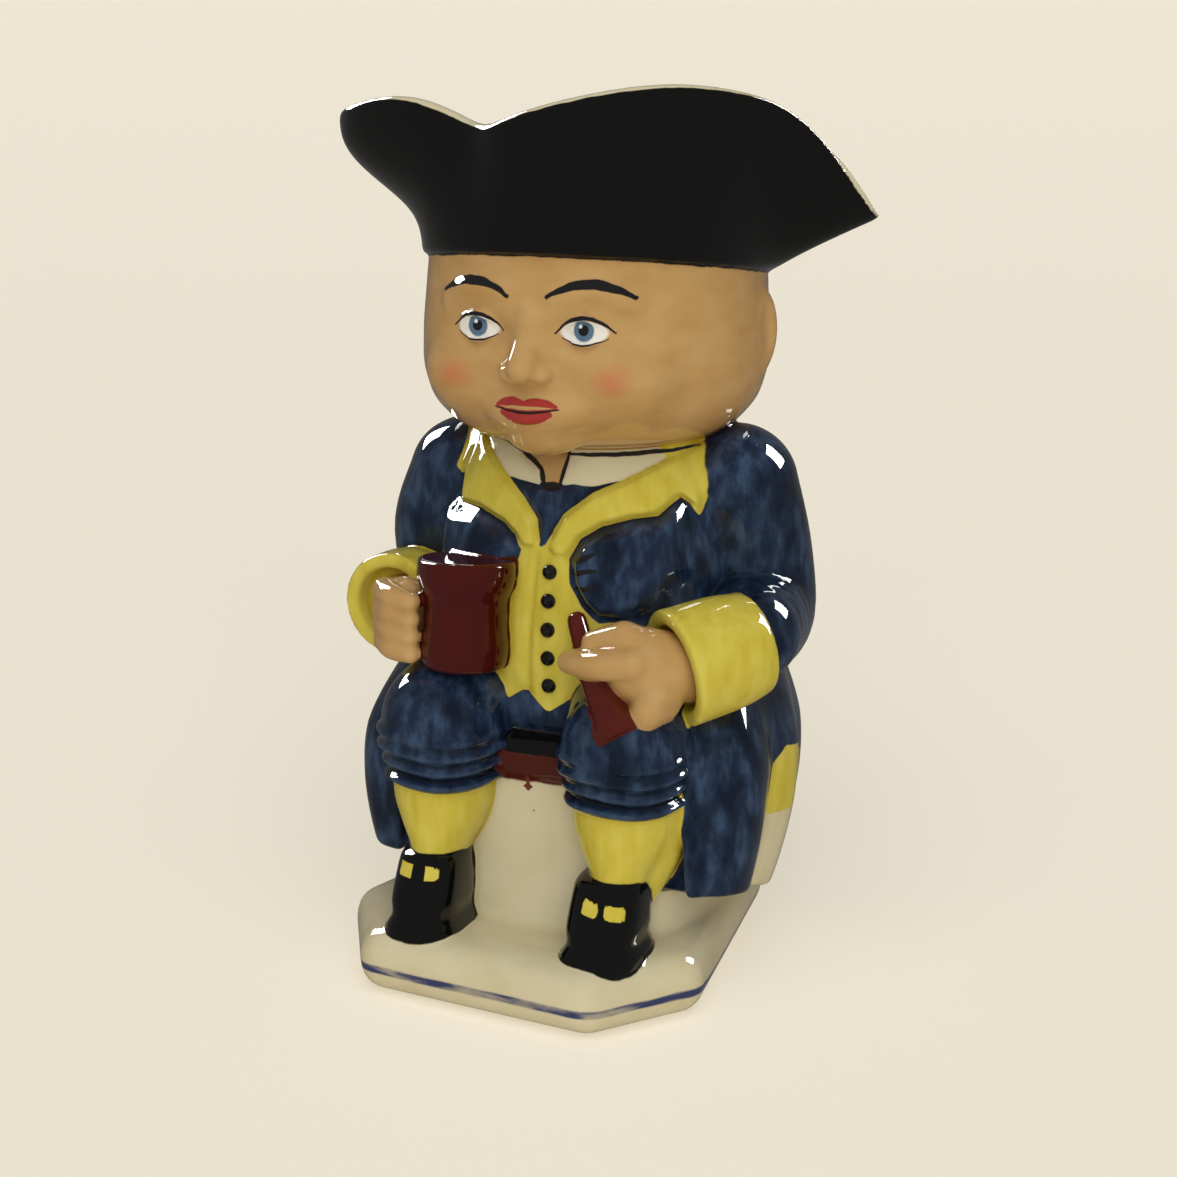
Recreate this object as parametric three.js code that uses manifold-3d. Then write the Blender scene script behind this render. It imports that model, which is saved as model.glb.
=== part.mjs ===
// A seated toby jug in glazed earthenware, cast in one piece, with a loop handle at its back.
// Millimetres, +Z up. The figure faces -Y and its left side is +X. The jug is hollow and is
// filled and poured through the open crown of its three-cornered hat.
import * as THREE from "three";
import { ParametricGeometry } from "three/addons/geometries/ParametricGeometry.js";
import { mergeVertices } from "three/addons/utils/BufferGeometryUtils.js";
import Module from "manifold-3d";

const wasm = await Module();
wasm.setup();

// Driving dimensions
const WALL = 4.2;
const BASE = { x: -1.8, high: 18, edge: 3, turn: -4 };
const BASE_SIDE = [[35, -69], [49.6, -48], [36.5, 34], [25, 46]];
const FOOT = { inset: 8, rise: 2 };
const SHIFT = { x: -4.6, y: -10.5 };
const LEG_X = 26.5;
const GLAZE = { color: 0xd9cfb4, roughness: 0.12, metalness: 0 };

// Plan sections of the upright forms: height z, half width w, front and back y, squareness n
const SEAT = [
  { z: 14, w: 40, front: -50, back: 38, n: 4 },
  { z: 24, w: 39, front: -47, back: 38, n: 4 },
  { z: 58, w: 39, front: -45, back: 38, n: 4 },
];
const CUSHION = [
  { z: 57, w: 41, front: -44.5, back: 38, n: 5 },
  { z: 60, w: 43, front: -46.5, back: 38, n: 5 },
  { z: 68, w: 43, front: -46.5, back: 38, n: 5 },
  { z: 71, w: 41, front: -44, back: 38, n: 5 },
];
const TORSO = [
  { z: 62, w: 38, front: -38, back: 36, n: 2.4 },
  { z: 76, w: 41, front: -40.5, back: 36, n: 2.4 },
  { z: 90, w: 43, front: -42.5, back: 36, n: 2.3 },
  { z: 105, w: 43, front: -41.5, back: 35, n: 2.3 },
  { z: 120, w: 42, front: -38.5, back: 33, n: 2.3 },
  { z: 132, w: 39, front: -35, back: 30, n: 2.2 },
  { z: 142, w: 34, front: -31.5, back: 27, n: 2.1 },
  { z: 155, w: 26, front: -25, back: 24, n: 2 },
];
const COAT = [
  { z: 13, w: 48, front: -46, back: 42, n: 7, nb: 2.6 },
  { z: 30, w: 53.5, front: -47.5, back: 45, n: 7, nb: 2.7 },
  { z: 50, w: 57.5, front: -48, back: 46, n: 6, nb: 2.8 },
  { z: 66, w: 58, front: -47, back: 44, n: 5, nb: 2.8 },
  { z: 82, w: 53.5, front: -42, back: 41, n: 3.4, nb: 2.6 },
  { z: 104, w: 43, front: -30, back: 35.5, n: 2.4, nb: 2.4 },
];
const HEAD = [
  { z: 145, w: 26, front: -26, back: 24, n: 2 },
  { z: 149, w: 35, front: -37, back: 33, n: 2.1 },
  { z: 155, w: 42, front: -44.5, back: 38, n: 2.1 },
  { z: 164, w: 46, front: -48.5, back: 41.5, n: 2.1 },
  { z: 175, w: 46.4, front: -49.5, back: 43, n: 2.1 },
  { z: 187, w: 45.6, front: -48.5, back: 43, n: 2.1 },
  { z: 203, w: 44.2, front: -46.5, back: 42, n: 2.1 },
];
const CAVITY = [
  { z: 8, w: 33, front: -38, back: 30, n: 4 },
  { z: 58, w: 34, front: -40, back: 32, n: 4 },
  { z: 84, w: 38, front: -37, back: 31.5, n: 2.4 },
  { z: 105, w: 38.8, front: -37, back: 30.7, n: 2.3 },
  { z: 125, w: 37, front: -33, back: 28, n: 2.2 },
  { z: 138, w: 31, front: -27.5, back: 24, n: 2.1 },
  { z: 146, w: 26, front: -23.5, back: 21.5, n: 2 },
  { z: 153, w: 33, front: -34.5, back: 30, n: 2 },
  { z: 161, w: 41, front: -42.5, back: 36, n: 2.1 },
  { z: 180, w: 42.8, front: -45, back: 38.5, n: 2.1 },
  { z: 206, w: 39.8, front: -41.5, back: 37.8, n: 2.1 },
];
const COAT_CAVITY = [
  { z: 36, w: 45, front: -33, back: 38, n: 5, nb: 2.6 },
  { z: 46, w: 49.5, front: -35.5, back: 40.5, n: 5, nb: 2.7 },
  { z: 62, w: 51.5, front: -35.5, back: 40, n: 5, nb: 2.8 },
  { z: 82, w: 47.5, front: -34, back: 36.5, n: 3.4, nb: 2.6 },
  { z: 100, w: 38.5, front: -30, back: 30.5, n: 2.4, nb: 2.4 },
];

// The hat: its crown line round the head, its rim, and the lobes and folds of the turned-up brim
const HAT = {
  foot: 198,
  foot_front: -47,
  foot_tilt: 0.13,
  foot_proud: 2.4,
  rim: 225,
  reach: 52.5,
  lip: 1.2,
  sides: 40,
};
const BRIM_REACH = [
  { at: -68, wide: 24, by: 17.5 },
  { at: -22, wide: 13, by: -5 },
  { at: 70, wide: 14, by: 1.5 },
  { at: 98, wide: 18, by: 25 },
  { at: -172, wide: 24, by: 12 },
];
const BRIM_RISE = [
  { at: 43, wide: 57.5, by: 15 },
  { at: -40, wide: 28, by: 11.5 },
  { at: -70, wide: 16, by: 2.5 },
  { at: -21, wide: 18, by: -6 },
  { at: 98, wide: 13.5, by: -24 },
];
const SPOUT = { at: -72, wide: 30 };

// Arms and legs: points down the middle with the radius there
const SLEEVES = [
  [[39.5, 0, 134, 17], [43.5, 3, 118, 16], [44.5, 4, 102, 16.6], [51.5, -20, 99, 13]],
  [[-39, -6, 133, 15.5], [-44.5, -6, 118, 15.5], [-46, -4, 103, 14.5], [-48, -22, 100, 12]],
];
const CUFFS = [
  { from: [55, -27, 98.5], to: [38.5, -44.5, 94], r0: 14.2, r1: 15.8, lip: 4 },
  { from: [-47, -18, 100.5], to: [-47.5, -37, 100.5], r0: 12.8, r1: 14.4, lip: 5 },
];
const THIGH = [[-20, 79, 15], [-38, 75.5, 17.5], [-46, 73, 17.2]];
const KNEE = [
  { z: 55.5, w: 13.6, front: -59.6, back: -33, n: 2 },
  { z: 58, w: 15.2, front: -61.6, back: -33, n: 2 },
  { z: 62, w: 15.2, front: -61.2, back: -33, n: 2 },
  { z: 66, w: 16.8, front: -63, back: -33, n: 2 },
  { z: 68.5, w: 16.4, front: -62.4, back: -33, n: 2 },
  { z: 72, w: 17.6, front: -63.6, back: -33, n: 2 },
];
const STOCKING = [
  { z: 32, w: 7, front: -59.6, back: -40, n: 2 },
  { z: 38, w: 7.8, front: -59.4, back: -38, n: 2 },
  { z: 46, w: 11.8, front: -59.8, back: -34, n: 2 },
  { z: 58, w: 14.2, front: -60.5, back: -32, n: 2 },
];
const STOCKING_WEB = [[34.5, -41, 57, 8.5], [34, -42, 45, 7], [31, -44, 32, 4]];
const SHOE = [
  { z: 15, w: 9.8, front: -67.8, back: -42, n: 3 },
  { z: 19.6, w: 10, front: -68, back: -42, n: 3 },
  { z: 20.6, w: 9.3, front: -67.2, back: -42, n: 3 },
  { z: 26, w: 9.4, front: -65.8, back: -42, n: 3 },
  { z: 32, w: 9.2, front: -63.2, back: -42, n: 2.8 },
  { z: 38.5, w: 8.4, front: -60.8, back: -42, n: 2.6 },
];
const RIGHT_SHOE = { side: -1, x: -27, wider: 1.02 };
const LEFT_SHOE = { side: 1, x: 24.8, wider: 1.06 };

// Hands, mug and pipe
const MUG = { x: -19.2, y: -48.5, foot: 89, high: 29.5, lean: 0.08, r_foot: 11, r_waist: 11.3, r_top: 13.2 };
const PIPE = {
  stem: [12.6, -46.5, 104.6],
  grip: [19, -53, 93.5],
  bowl: [29.6, -57.5, 78.5],
  r: 2.6,
  r_bowl: 6.6,
};
const FINGER = { r: 3.3, count: 4, pitch: 4.7, top: 108.5, drop: 0.4 };
const CURLED = { r: 4.2, pitch: 3 };

// Waistcoat and coat front, as outlines in x and z raised on the body
const BUTTONS = { x: 2.5, top: 115.2, pitch: -7.7, count: 5, r: 2, proud: 1.1, y_top: -42, y_low: -43.6 };
const HANDLE = {
  line: [
    [37, 196], [58, 198], [76, 186], [84.5, 167], [85, 149], [79, 125], [66, 106], [50, 94], [38, 86],
  ],
  wide: 8.6,
  thick: 6.8,
};

// Small vector and surface helpers
const at = (x, y, z) => new THREE.Vector3(x, y, z);
const lerp = THREE.MathUtils.lerp;
const rad = THREE.MathUtils.degToRad;

// A closed geometry as a solid, with its shared corners merged and its faces turned outwards.
function solidOf(geometry) {
  const g = geometry.clone();
  g.deleteAttribute("normal");
  g.deleteAttribute("uv");
  const merged = mergeVertices(g, 1e-3);
  const index = merged.index.array;
  const kept = [];
  for (let i = 0; i < index.length; i += 3) {
    const [a, b, c] = [index[i], index[i + 1], index[i + 2]];
    if (a !== b && b !== c && c !== a) kept.push(a, b, c);
  }
  const build = (triVerts) =>
    new wasm.Manifold(
      new wasm.Mesh({
        numProp: 3,
        vertProperties: Float32Array.from(merged.attributes.position.array),
        triVerts: Uint32Array.from(triVerts),
      }),
    );
  const made = build(kept);
  if (made.volume() > 0) return made;
  return build(kept.reverse());
}

const join = (...solids) => solids.flat().reduce((a, b) => a.add(b));

// A closed skin over rows of points: pointAt(k, u) gives the point at turn u of row k, and the
// first and last rows are closed to their middles.
function skin(rows, sides, pointAt) {
  const surface = (u, v, target) => {
    const row = Math.round(v * (rows + 1));
    const k = THREE.MathUtils.clamp(row - 1, 0, rows - 1);
    if (row > 0 && row <= rows) {
      target.copy(pointAt(k, u));
      return;
    }
    const middle = at(0, 0, 0);
    for (let s = 0; s < sides; s++) middle.add(pointAt(k, s / sides));
    target.copy(middle.divideScalar(sides));
  };
  return solidOf(new ParametricGeometry(surface, sides, rows + 1));
}

const TINY = 1e-9;
const power = (value, n) => (Math.abs(value) < TINY ? 0 : Math.sign(value) * Math.abs(value) ** (2 / n));

// A point of a squared-off oval section. turn runs once round it, from the figure's left.
function sectionPoint(level, turn, grow = 0) {
  const angle = turn * Math.PI * 2;
  const middle = (level.front + level.back) / 2;
  const reach = (level.back - level.front) / 2 + grow;
  const n = Math.sin(angle) > 0 ? (level.nb ?? level.n) : level.n;
  return at(
    (level.x ?? 0) + (level.w + grow) * power(Math.cos(angle), n),
    middle + reach * power(Math.sin(angle), n),
    level.z,
  );
}

// An upright form through a list of sections.
function stack(levels, sides, grow = 0, warp = (p) => p) {
  return skin(levels.length, sides, (k, u) => warp(sectionPoint(levels[k], u, grow), u, k));
}

function ball(center, radii, sides = 16, turn = [0, 0, 0]) {
  const g = new THREE.SphereGeometry(1, sides, Math.max(4, Math.round(sides / 2)));
  g.rotateX(Math.PI / 2);
  g.scale(...radii);
  g.applyMatrix4(new THREE.Matrix4().makeRotationFromEuler(new THREE.Euler(...turn.map(rad))));
  g.translate(...center);
  return solidOf(g);
}

// A round bar through points [x, y, z, radius], with rounded ends. flat squashes it across, and
// caps are the shares of the radius at the rings that round an end off.
const ROUND = [0.35, 0.8];
const BLUNT = [0.62];
function limb(points, sides, steps, flat = 1, caps = ROUND) {
  const curve = new THREE.CatmullRomCurve3(points.map((p) => at(p[0], p[1], p[2])), false, "centripetal");
  const last = points.length - 1;
  const radiusAt = (t) => {
    const k = Math.min(Math.floor(t * last), last - 1);
    return lerp(points[k][3], points[k + 1][3], t * last - k);
  };
  const rows = steps + 1 + 2 * caps.length;
  const frameAt = (t) => {
    const along = curve.getTangent(t);
    const side = at(1, 0, 0).cross(along);
    if (side.length() < 0.2) side.copy(at(0, 0, 1).cross(along));
    side.normalize();
    return { along, side, up: along.clone().cross(side).normalize() };
  };
  return skin(rows, sides, (k, u) => {
    const before = k < caps.length;
    const after = k >= rows - caps.length;
    const t = THREE.MathUtils.clamp((k - caps.length) / steps, 0, 1);
    const { along, side, up } = frameAt(t);
    const cap = before ? caps[k] : after ? caps[rows - 1 - k] : 1;
    const slip = Math.sqrt(1 - cap * cap) * (before ? -1 : after ? 1 : 0);
    const r = radiusAt(t);
    const angle = u * Math.PI * 2;
    return curve
      .getPoint(t)
      .addScaledVector(along, slip * r)
      .addScaledVector(side, Math.cos(angle) * r * cap * flat)
      .addScaledVector(up, Math.sin(angle) * r * cap);
  });
}

// A flat outline in x and z, taken straight back in y from the front.
function prism(outline, front = -75, back = -4) {
  const shape = new THREE.Shape(outline.map(([x, z]) => new THREE.Vector2(x, z)));
  const g = new THREE.ExtrudeGeometry(shape, { depth: back - front, bevelEnabled: false });
  g.rotateX(Math.PI / 2);
  g.translate(0, back, 0);
  return solidOf(g);
}

// A turned form on the line between two points, from pairs of radius and share of the way.
function turned(from, to, profile, sides = 20) {
  const axis = at(...to).sub(at(...from));
  const length = axis.length();
  const g = new THREE.LatheGeometry(profile.map(([r, t]) => new THREE.Vector2(r, t * length)), sides);
  const turn = new THREE.Quaternion().setFromUnitVectors(at(0, 1, 0), axis.normalize());
  g.applyQuaternion(turn);
  g.translate(...from);
  return solidOf(g);
}

// Base: a slab with cut corners, narrower at the back, on a shallow foot ring
function slabOutline(inset) {
  const half = BASE_SIDE.map(([x, y], k) => {
    const inward = k === 0 || k === BASE_SIDE.length - 1 ? inset * 0.5 : inset;
    return new THREE.Vector2(x - inward, y - Math.sign(y) * (k % 3 === 0 ? inset : inset * 0.5));
  });
  const other = half.map((p) => new THREE.Vector2(-p.x, p.y)).reverse();
  return new THREE.Shape([...half, ...other]);
}

function slab(inset, from, high, edge) {
  const g = new THREE.ExtrudeGeometry(slabOutline(inset), {
    depth: high - 2 * edge,
    bevelEnabled: edge > 0,
    bevelSize: edge,
    bevelThickness: edge,
    bevelSegments: 2,
  });
  g.translate(0, 0, from + edge);
  g.rotateZ(rad(BASE.turn));
  g.translate(BASE.x, 0, 0);
  return solidOf(g);
}

const makeBase = () => slab(BASE.edge, 0, BASE.high, BASE.edge);
const makeFootRecess = () => slab(FOOT.inset, -5, FOOT.rise + 5, 0);

// Coat skirts hang in folds over the seat, open at the front between the legs
const COAT_FOLDS = { count: 12, deep: 0.034, top: 88, fade: 50, narrowing: 0.0022 };
const SKIRT_LIFT = { high: 17, from: 20, to: -46 };

function narrowBack(p) {
  p.x *= 1 - COAT_FOLDS.narrowing * Math.max(0, p.y);
  return p;
}

function foldCoat(p, u, k) {
  const hang = THREE.MathUtils.clamp((COAT_FOLDS.top - p.z) / COAT_FOLDS.fade, 0, 1);
  const push = 1 + Math.cos(u * Math.PI * 2 * COAT_FOLDS.count) * COAT_FOLDS.deep * hang;
  narrowBack(p);
  p.x *= push;
  p.y *= push;
  const lift = THREE.MathUtils.smoothstep(p.y, SKIRT_LIFT.to, SKIRT_LIFT.from);
  if (k === 0) p.z += SKIRT_LIFT.high * (1 - lift);
  return p;
}

function makeCoat() {
  const skirts = stack(COAT, 36, 0, foldCoat);
  const lap = [[-43.5, 10], [43.5, 10], [42, 46], [42, 90], [-42, 90], [-42, 46]];
  const opening = prism(lap, -80, -40);
  return skirts.subtract(opening);
}

function makeBody() {
  const shoulders = limb([[-36, -3, 134, 15], [0, -2, 135, 16], [36, -1, 134, 15]], 10, 2);
  const lapCloth = ball([0, -28, 77], [34, 16, 11], 10);
  return join(stack(SEAT, 16), stack(CUSHION, 16), stack(TORSO, 24), shoulders, lapCloth);
}

// Arms: blue sleeve, then a turned-back cuff that stands open round the wrist
function makeSleeve(points) {
  return limb(points, 10, 5);
}

function makeCuff({ from, to, r0, r1, lip }) {
  const length = at(...to).distanceTo(at(...from));
  const floor = 1 - lip / length;
  const profile = [
    [0, 0], [r0 - 1.5, 0], [r0, 0.1], [r1, 0.9], [r1 - 1.2, 1], [r1 - 4, 1], [r1 - 6, floor], [0, floor],
  ];
  return turned(from, to, profile, 13);
}

// The figure's left hand rests on the waistcoat with its finger out, closed round the pipe.
function makePipeHand() {
  const palm = ball([32, -50, 95.5], [9.5, 9, 10.2], 10, [0, 0, 20]);
  const wrist = limb([[42, -42, 94.5, 9.5], [34, -48, 95, 9.5]], 8, 1, 1, BLUNT);
  const fingerLine = [[32, -57, 98, 4.4], [23, -57, 96.6, 4], [13, -52.6, 95.2, 3.1]];
  const finger = limb(fingerLine, 6, 3, 1, BLUNT);
  const thumb = limb([[28, -52, 103, 4.6], [20, -52.5, 101, 3.4]], 6, 1, 1, BLUNT);
  const curled = [0, 1, 2].map((k) => {
    const outer = [40 - k, -51, 92 - k * CURLED.pitch, CURLED.r];
    const inner = [38.4 - k * 1.5, -55.6, 90.6 - k * CURLED.pitch, CURLED.r];
    return limb([outer, inner], 5, 1, 1, BLUNT);
  });
  return join(palm, wrist, finger, thumb, curled);
}

// The figure's right hand holds the mug by its far side, four fingers one above the other.
function makeMugHand() {
  const back = ball([-38, -46, 101], [7.5, 8, 10.5], 10);
  const wrist = limb([[-46, -33, 100, 8], [-40, -43, 100.5, 8.5]], 8, 1, 1, BLUNT);
  const fingers = [];
  for (let k = 0; k < FINGER.count; k++) {
    const { r, drop } = FINGER;
    const z = FINGER.top - k * FINGER.pitch;
    const line = [[-42, -50, z, r], [-37, -54.6, z - drop, r], [-31, -56.6, z - 2 * drop, r - drop]];
    fingers.push(limb(line, 5, 2, 1, BLUNT));
  }
  return join(back, wrist, fingers);
}

function makeMug() {
  const { r_foot, r_waist, r_top } = MUG;
  const profile = [
    [0, 0], [r_foot - 1, 0], [r_foot, 0.06], [r_waist, 0.64], [r_top - 0.6, 0.75],
    [r_top, 0.97], [r_top - 1, 1], [0, 0.97],
  ];
  const foot = [MUG.x, MUG.y, MUG.foot];
  const top = [MUG.x, MUG.y + MUG.lean * MUG.high, MUG.foot + MUG.high];
  return turned(foot, top, profile, 16);
}

function makePipe() {
  const stem = limb([[...PIPE.stem, PIPE.r], [...PIPE.grip, PIPE.r + 0.6]], 8, 1, 1, BLUNT);
  const { r_bowl } = PIPE;
  const profile = [
    [0, 0], [3.2, 0], [4.2, 0.25], [r_bowl - 1.6, 0.6], [r_bowl, 0.93], [r_bowl - 1, 1], [0, 1],
  ];
  return join(stem, turned(PIPE.grip, PIPE.bowl, profile, 10));
}

// Legs: breeches gathered in rings at the knee, a stocking that webs into the seat, and a shoe
function makeLeg({ side, x: shoeX, wider }) {
  const x = side * LEG_X;
  const placed = (levels) => levels.map((level) => ({ ...level, x }));
  const thigh = limb(THIGH.map(([y, z, r], k) => [x - side * 1.5 * (2 - k), y, z, r]), 12, 2);
  const folds = stack(placed(KNEE), 12);
  const stocking = stack(placed(STOCKING), 10);
  const web = limb(STOCKING_WEB.map(([across, y, z, r]) => [side * across, y, z, r]), 6, 2, 1, BLUNT);
  const shoe = stack(SHOE.map((level) => ({ ...level, x: shoeX, w: level.w * wider })), 12);
  return join(thigh, folds, stocking, web, shoe);
}

// Dress on the chest, each raised from the body by its own thickness
const WAISTCOAT = [
  [-24, 83], [-13.3, 77.4], [-5, 83], [-3.2, 83], [3, 78], [13, 84.8], [20, 90], [22, 104], [12, 108], [7, 119],
  [4.1, 129.8], [1.9, 125], [-2.1, 123], [-3.1, 128.4], [-9, 124], [-9, 116], [-13, 106], [-24, 100],
];
const LEFT_LAPEL = [
  [0.2, 121.4], [1.9, 125], [4.1, 129.8], [11.4, 135.7], [18.4, 139], [30.6, 145.7], [52, 155], [47, 146],
  [38, 135], [36, 129.5], [31.8, 134.5], [27.9, 130.3], [22.2, 129.7], [15.1, 127.8], [9.5, 124.3], [7, 119],
];
const RIGHT_LAPEL = [
  [-1.2, 121], [-6.3, 120.5], [-9.1, 124], [-13.3, 126.9], [-21.8, 129.5], [-30.2, 129.4], [-31.4, 136],
  [-37.5, 135.5], [-36, 147], [-40, 154], [-28, 149], [-13.7, 138.2], [-8.1, 133.8], [-3.1, 128.4],
];
const LEFT_FLAP = [
  [7, 119], [9.5, 124.3], [15.1, 127.8], [22.2, 129.7], [27.9, 130.3], [31.8, 134.5], [36, 128], [37, 116],
  [32, 107], [22, 103.2], [16, 103], [8, 112.6],
];
const RIGHT_FLAP = [
  [-6.3, 120.5], [-8, 113], [-14, 106], [-35, 108], [-37, 124], [-35, 132], [-30.2, 129.4], [-21.8, 129.5],
  [-13.3, 126.9], [-9.1, 124],
];
const NECKCLOTH = [
  [-14, 138.4], [-2.6, 136.8], [2, 136.9], [11.7, 138.4], [4.1, 129.8], [0.6, 121.8], [-1.4, 121.6],
  [-3.1, 128.4],
];
const RIGHT_COLLAR = [
  [-12, 134.5], [-29, 146.5], [-34, 154], [-10, 150], [-10.6, 144.8], [-3.9, 141.5], [-2.6, 136.8],
];
const LEFT_COLLAR = [[2, 136.9], [3.4, 145.2], [3.4, 150], [33, 153], [34, 144.5], [19.5, 137], [11.4, 134]];
const RAISED = { waistcoat: 1.2, neckcloth: 1.4, collar: 1, lapel: 2.3, flap: 4.2 };

function raise(outline, grow) {
  return prism(outline).intersect(stack(TORSO, 24, grow));
}

function makeDress() {
  const buttons = [];
  for (let k = 0; k < BUTTONS.count; k++) {
    const z = BUTTONS.top + BUTTONS.pitch * k;
    const chest = lerp(BUTTONS.y_top, BUTTONS.y_low, k / (BUTTONS.count - 1));
    buttons.push(ball([BUTTONS.x, chest, z], [BUTTONS.r, BUTTONS.proud * 2, BUTTONS.r], 5));
  }
  return join(
    raise(WAISTCOAT, RAISED.waistcoat),
    raise(NECKCLOTH, RAISED.neckcloth),
    raise(RIGHT_COLLAR, RAISED.collar),
    raise(LEFT_COLLAR, RAISED.collar),
    raise(LEFT_LAPEL, RAISED.lapel),
    raise(RIGHT_LAPEL, RAISED.lapel),
    raise(LEFT_FLAP, RAISED.flap),
    raise(RIGHT_FLAP, RAISED.flap),
    buttons,
  );
}

// The coat's collar stands up round the back of the neck.
const COLLAR = [
  { z: 136, w: 36, front: -33, back: 32, n: 2.1 },
  { z: 152, w: 34.5, front: -33, back: 31.5, n: 2.1 },
];
const COLLAR_FROM = -20;

function makeCoatCollar() {
  const behind = new THREE.BoxGeometry(120, 80, 40);
  behind.translate(0, COLLAR_FROM + 40, 145);
  return stack(COLLAR, 12).intersect(solidOf(behind));
}

// Head: a calm, plain face set out by the usual thirds, ears, and hair across the nape
const FACE = { brow: 188, eye: 179.5, nose: 168, mouth: 159.5, chin: 152, eye_x: 14.5, front: -49 };

function makeFace() {
  const { front, eye_x, brow, eye, nose, mouth, chin } = FACE;
  const soft = (line, sides) => limb(line, sides, 2, 1, BLUNT);
  const browLine = (s) => [
    [s * 6.5, front + 2, brow, 1.7],
    [s * 15, front + 3.2, brow + 1.5, 1.9],
    [s * 23, front + 7.4, brow - 1.5, 1.6],
  ];
  const noseLine = [
    [0, front + 1, eye + 4, 2.4],
    [0, front - 1, eye - 3, 2.9],
    [0, front - 3, nose + 1.6, 3.8],
  ];
  const pairs = [-1, 1].flatMap((s) => [
    soft(browLine(s), 5),
    ball([s * eye_x, front + 5, eye], [6.6, 4, 3.8], 8),
    ball([s * 4, front - 1.2, nose + 0.6], [2.8, 2.8, 2.4], 6),
    ball([s * 44.4, 2, 176], [3.8, 7.2, 11.5], 8, [0, 0, s * -14]),
  ]);
  const ridge = soft(noseLine, 7);
  const lip = (wide, height, r) =>
    soft([[-wide, front + 4.8, mouth, 1], [0, front + 2.6, height, r], [wide, front + 4.8, mouth, 1]], 5);
  const upperLip = lip(7.5, mouth + 1.2, 1.6);
  const lowerLip = lip(6.5, mouth - 1.6, 1.8);
  const point = ball([0, front + 12, chin], [11, 6.5, 6], 8);
  return join(pairs, ridge, upperLip, lowerLip, point);
}

const HEAD_SIDES = 26;
const HAIR = { count: 14, deep: 0.008, grow: 1.3, from: 24, low: 151, high: 197 };

// Short hair, in low waves, round the back of the head under the hat
function makeHair() {
  const { count, deep, grow, from, low, high } = HAIR;
  const waves = (p, u) => {
    const wave = 1 + deep * Math.cos(u * Math.PI * 2 * count);
    return at(p.x * wave, p.y * wave, p.z);
  };
  const behind = new THREE.BoxGeometry(120, 60, high - low);
  behind.translate(0, from + 30, (low + high) / 2);
  return stack(HEAD.slice(1), HEAD_SIDES, grow, waves).intersect(solidOf(behind));
}

const makeHead = () => join(stack(HEAD, HEAD_SIDES), makeFace(), makeHair());

// Hat: turn 0 is the front, in degrees towards the figure's left
function bump(angle, center, wide) {
  const off = THREE.MathUtils.euclideanModulo(angle - center + 180, 360) - 180;
  return Math.exp(-((off / wide) ** 2));
}

function lobed(angle, lobes) {
  return lobes.reduce((sum, lobe) => sum + lobe.by * bump(angle, lobe.at, lobe.wide), 0);
}

function brimPoint(angle, share, inset = 0) {
  const foot = sectionPoint(HEAD[HEAD.length - 1], (angle - 90) / 360, HAT.foot_proud - inset);
  foot.z = HAT.foot - HAT.foot_tilt * (foot.y - HAT.foot_front);
  const reach = HAT.reach + lobed(angle, BRIM_REACH) - inset;
  const rim = HAT.rim + lobed(angle, BRIM_RISE);
  const swept = THREE.MathUtils.smootherstep(share, 0.05, 0.95);
  const flare = lerp(share ** 1.15, swept, bump(angle, SPOUT.at, SPOUT.wide));
  const a = rad(angle);
  const tip = at(Math.sin(a) * reach, -Math.cos(a) * reach, rim);
  return at(lerp(foot.x, tip.x, flare), lerp(foot.y, tip.y, flare), lerp(foot.z, tip.z, share));
}

function makeHat() {
  const shares = [0, 0, 0.3, 0.6, 0.82, 0.95, 1];
  return skin(shares.length, HAT.sides, (k, u) => {
    const angle = u * 360;
    if (k === 0) return brimPoint(angle, 0, WALL);
    if (k === shares.length - 1) return brimPoint(angle, 1, HAT.lip);
    return brimPoint(angle, shares[k]);
  });
}

// The inside follows the outside at the thickness of the wall
const ABOVE_RIM = 20;

function makeCavity() {
  const shares = [0.02, 0.4, 0.75, 1];
  const crown = skin(shares.length + 1, HAT.sides, (k, u) => {
    const angle = u * 360;
    if (k < shares.length) return brimPoint(angle, shares[k], WALL);
    return brimPoint(angle, 1, WALL).setZ(HAT.rim + ABOVE_RIM);
  });
  return join(stack(CAVITY, 16), stack(COAT_CAVITY, 16, 0, narrowBack), crown);
}

// Handle: a flattened loop from under the hat to the back of the coat
function makeHandle() {
  const points = HANDLE.line.map(([y, z]) => [0, y, z, HANDLE.wide]);
  return limb(points, 8, 12, HANDLE.thick / HANDLE.wide);
}

function makeJug() {
  const solid = join(
    makeBase(), makeCoat(), makeBody(), makeLeg(RIGHT_SHOE), makeLeg(LEFT_SHOE), makeHead(), makeHat(),
    makeHandle(), makeCoatCollar(), SLEEVES.map(makeSleeve), CUFFS.map(makeCuff), makeDress(),
  ).subtract(makeCavity());
  const held = join(makeMug(), makeMugHand(), makePipe(), makePipeHand());
  return solid.add(held).subtract(makeFootRecess());
}

function meshOf(solid, name, look) {
  const { vertProperties, triVerts } = solid.getMesh();
  const g = new THREE.BufferGeometry();
  g.setAttribute("position", new THREE.BufferAttribute(vertProperties, 3));
  g.setIndex(new THREE.BufferAttribute(triVerts, 1));
  g.computeVertexNormals();
  const mesh = new THREE.Mesh(g, new THREE.MeshStandardMaterial(look));
  mesh.name = name;
  return mesh;
}

const jug = meshOf(makeJug(), "toby_jug", GLAZE);
jug.position.set(SHIFT.x, SHIFT.y, 0);
const part = new THREE.Group();
part.add(jug);

export default part;
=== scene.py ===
import math

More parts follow.
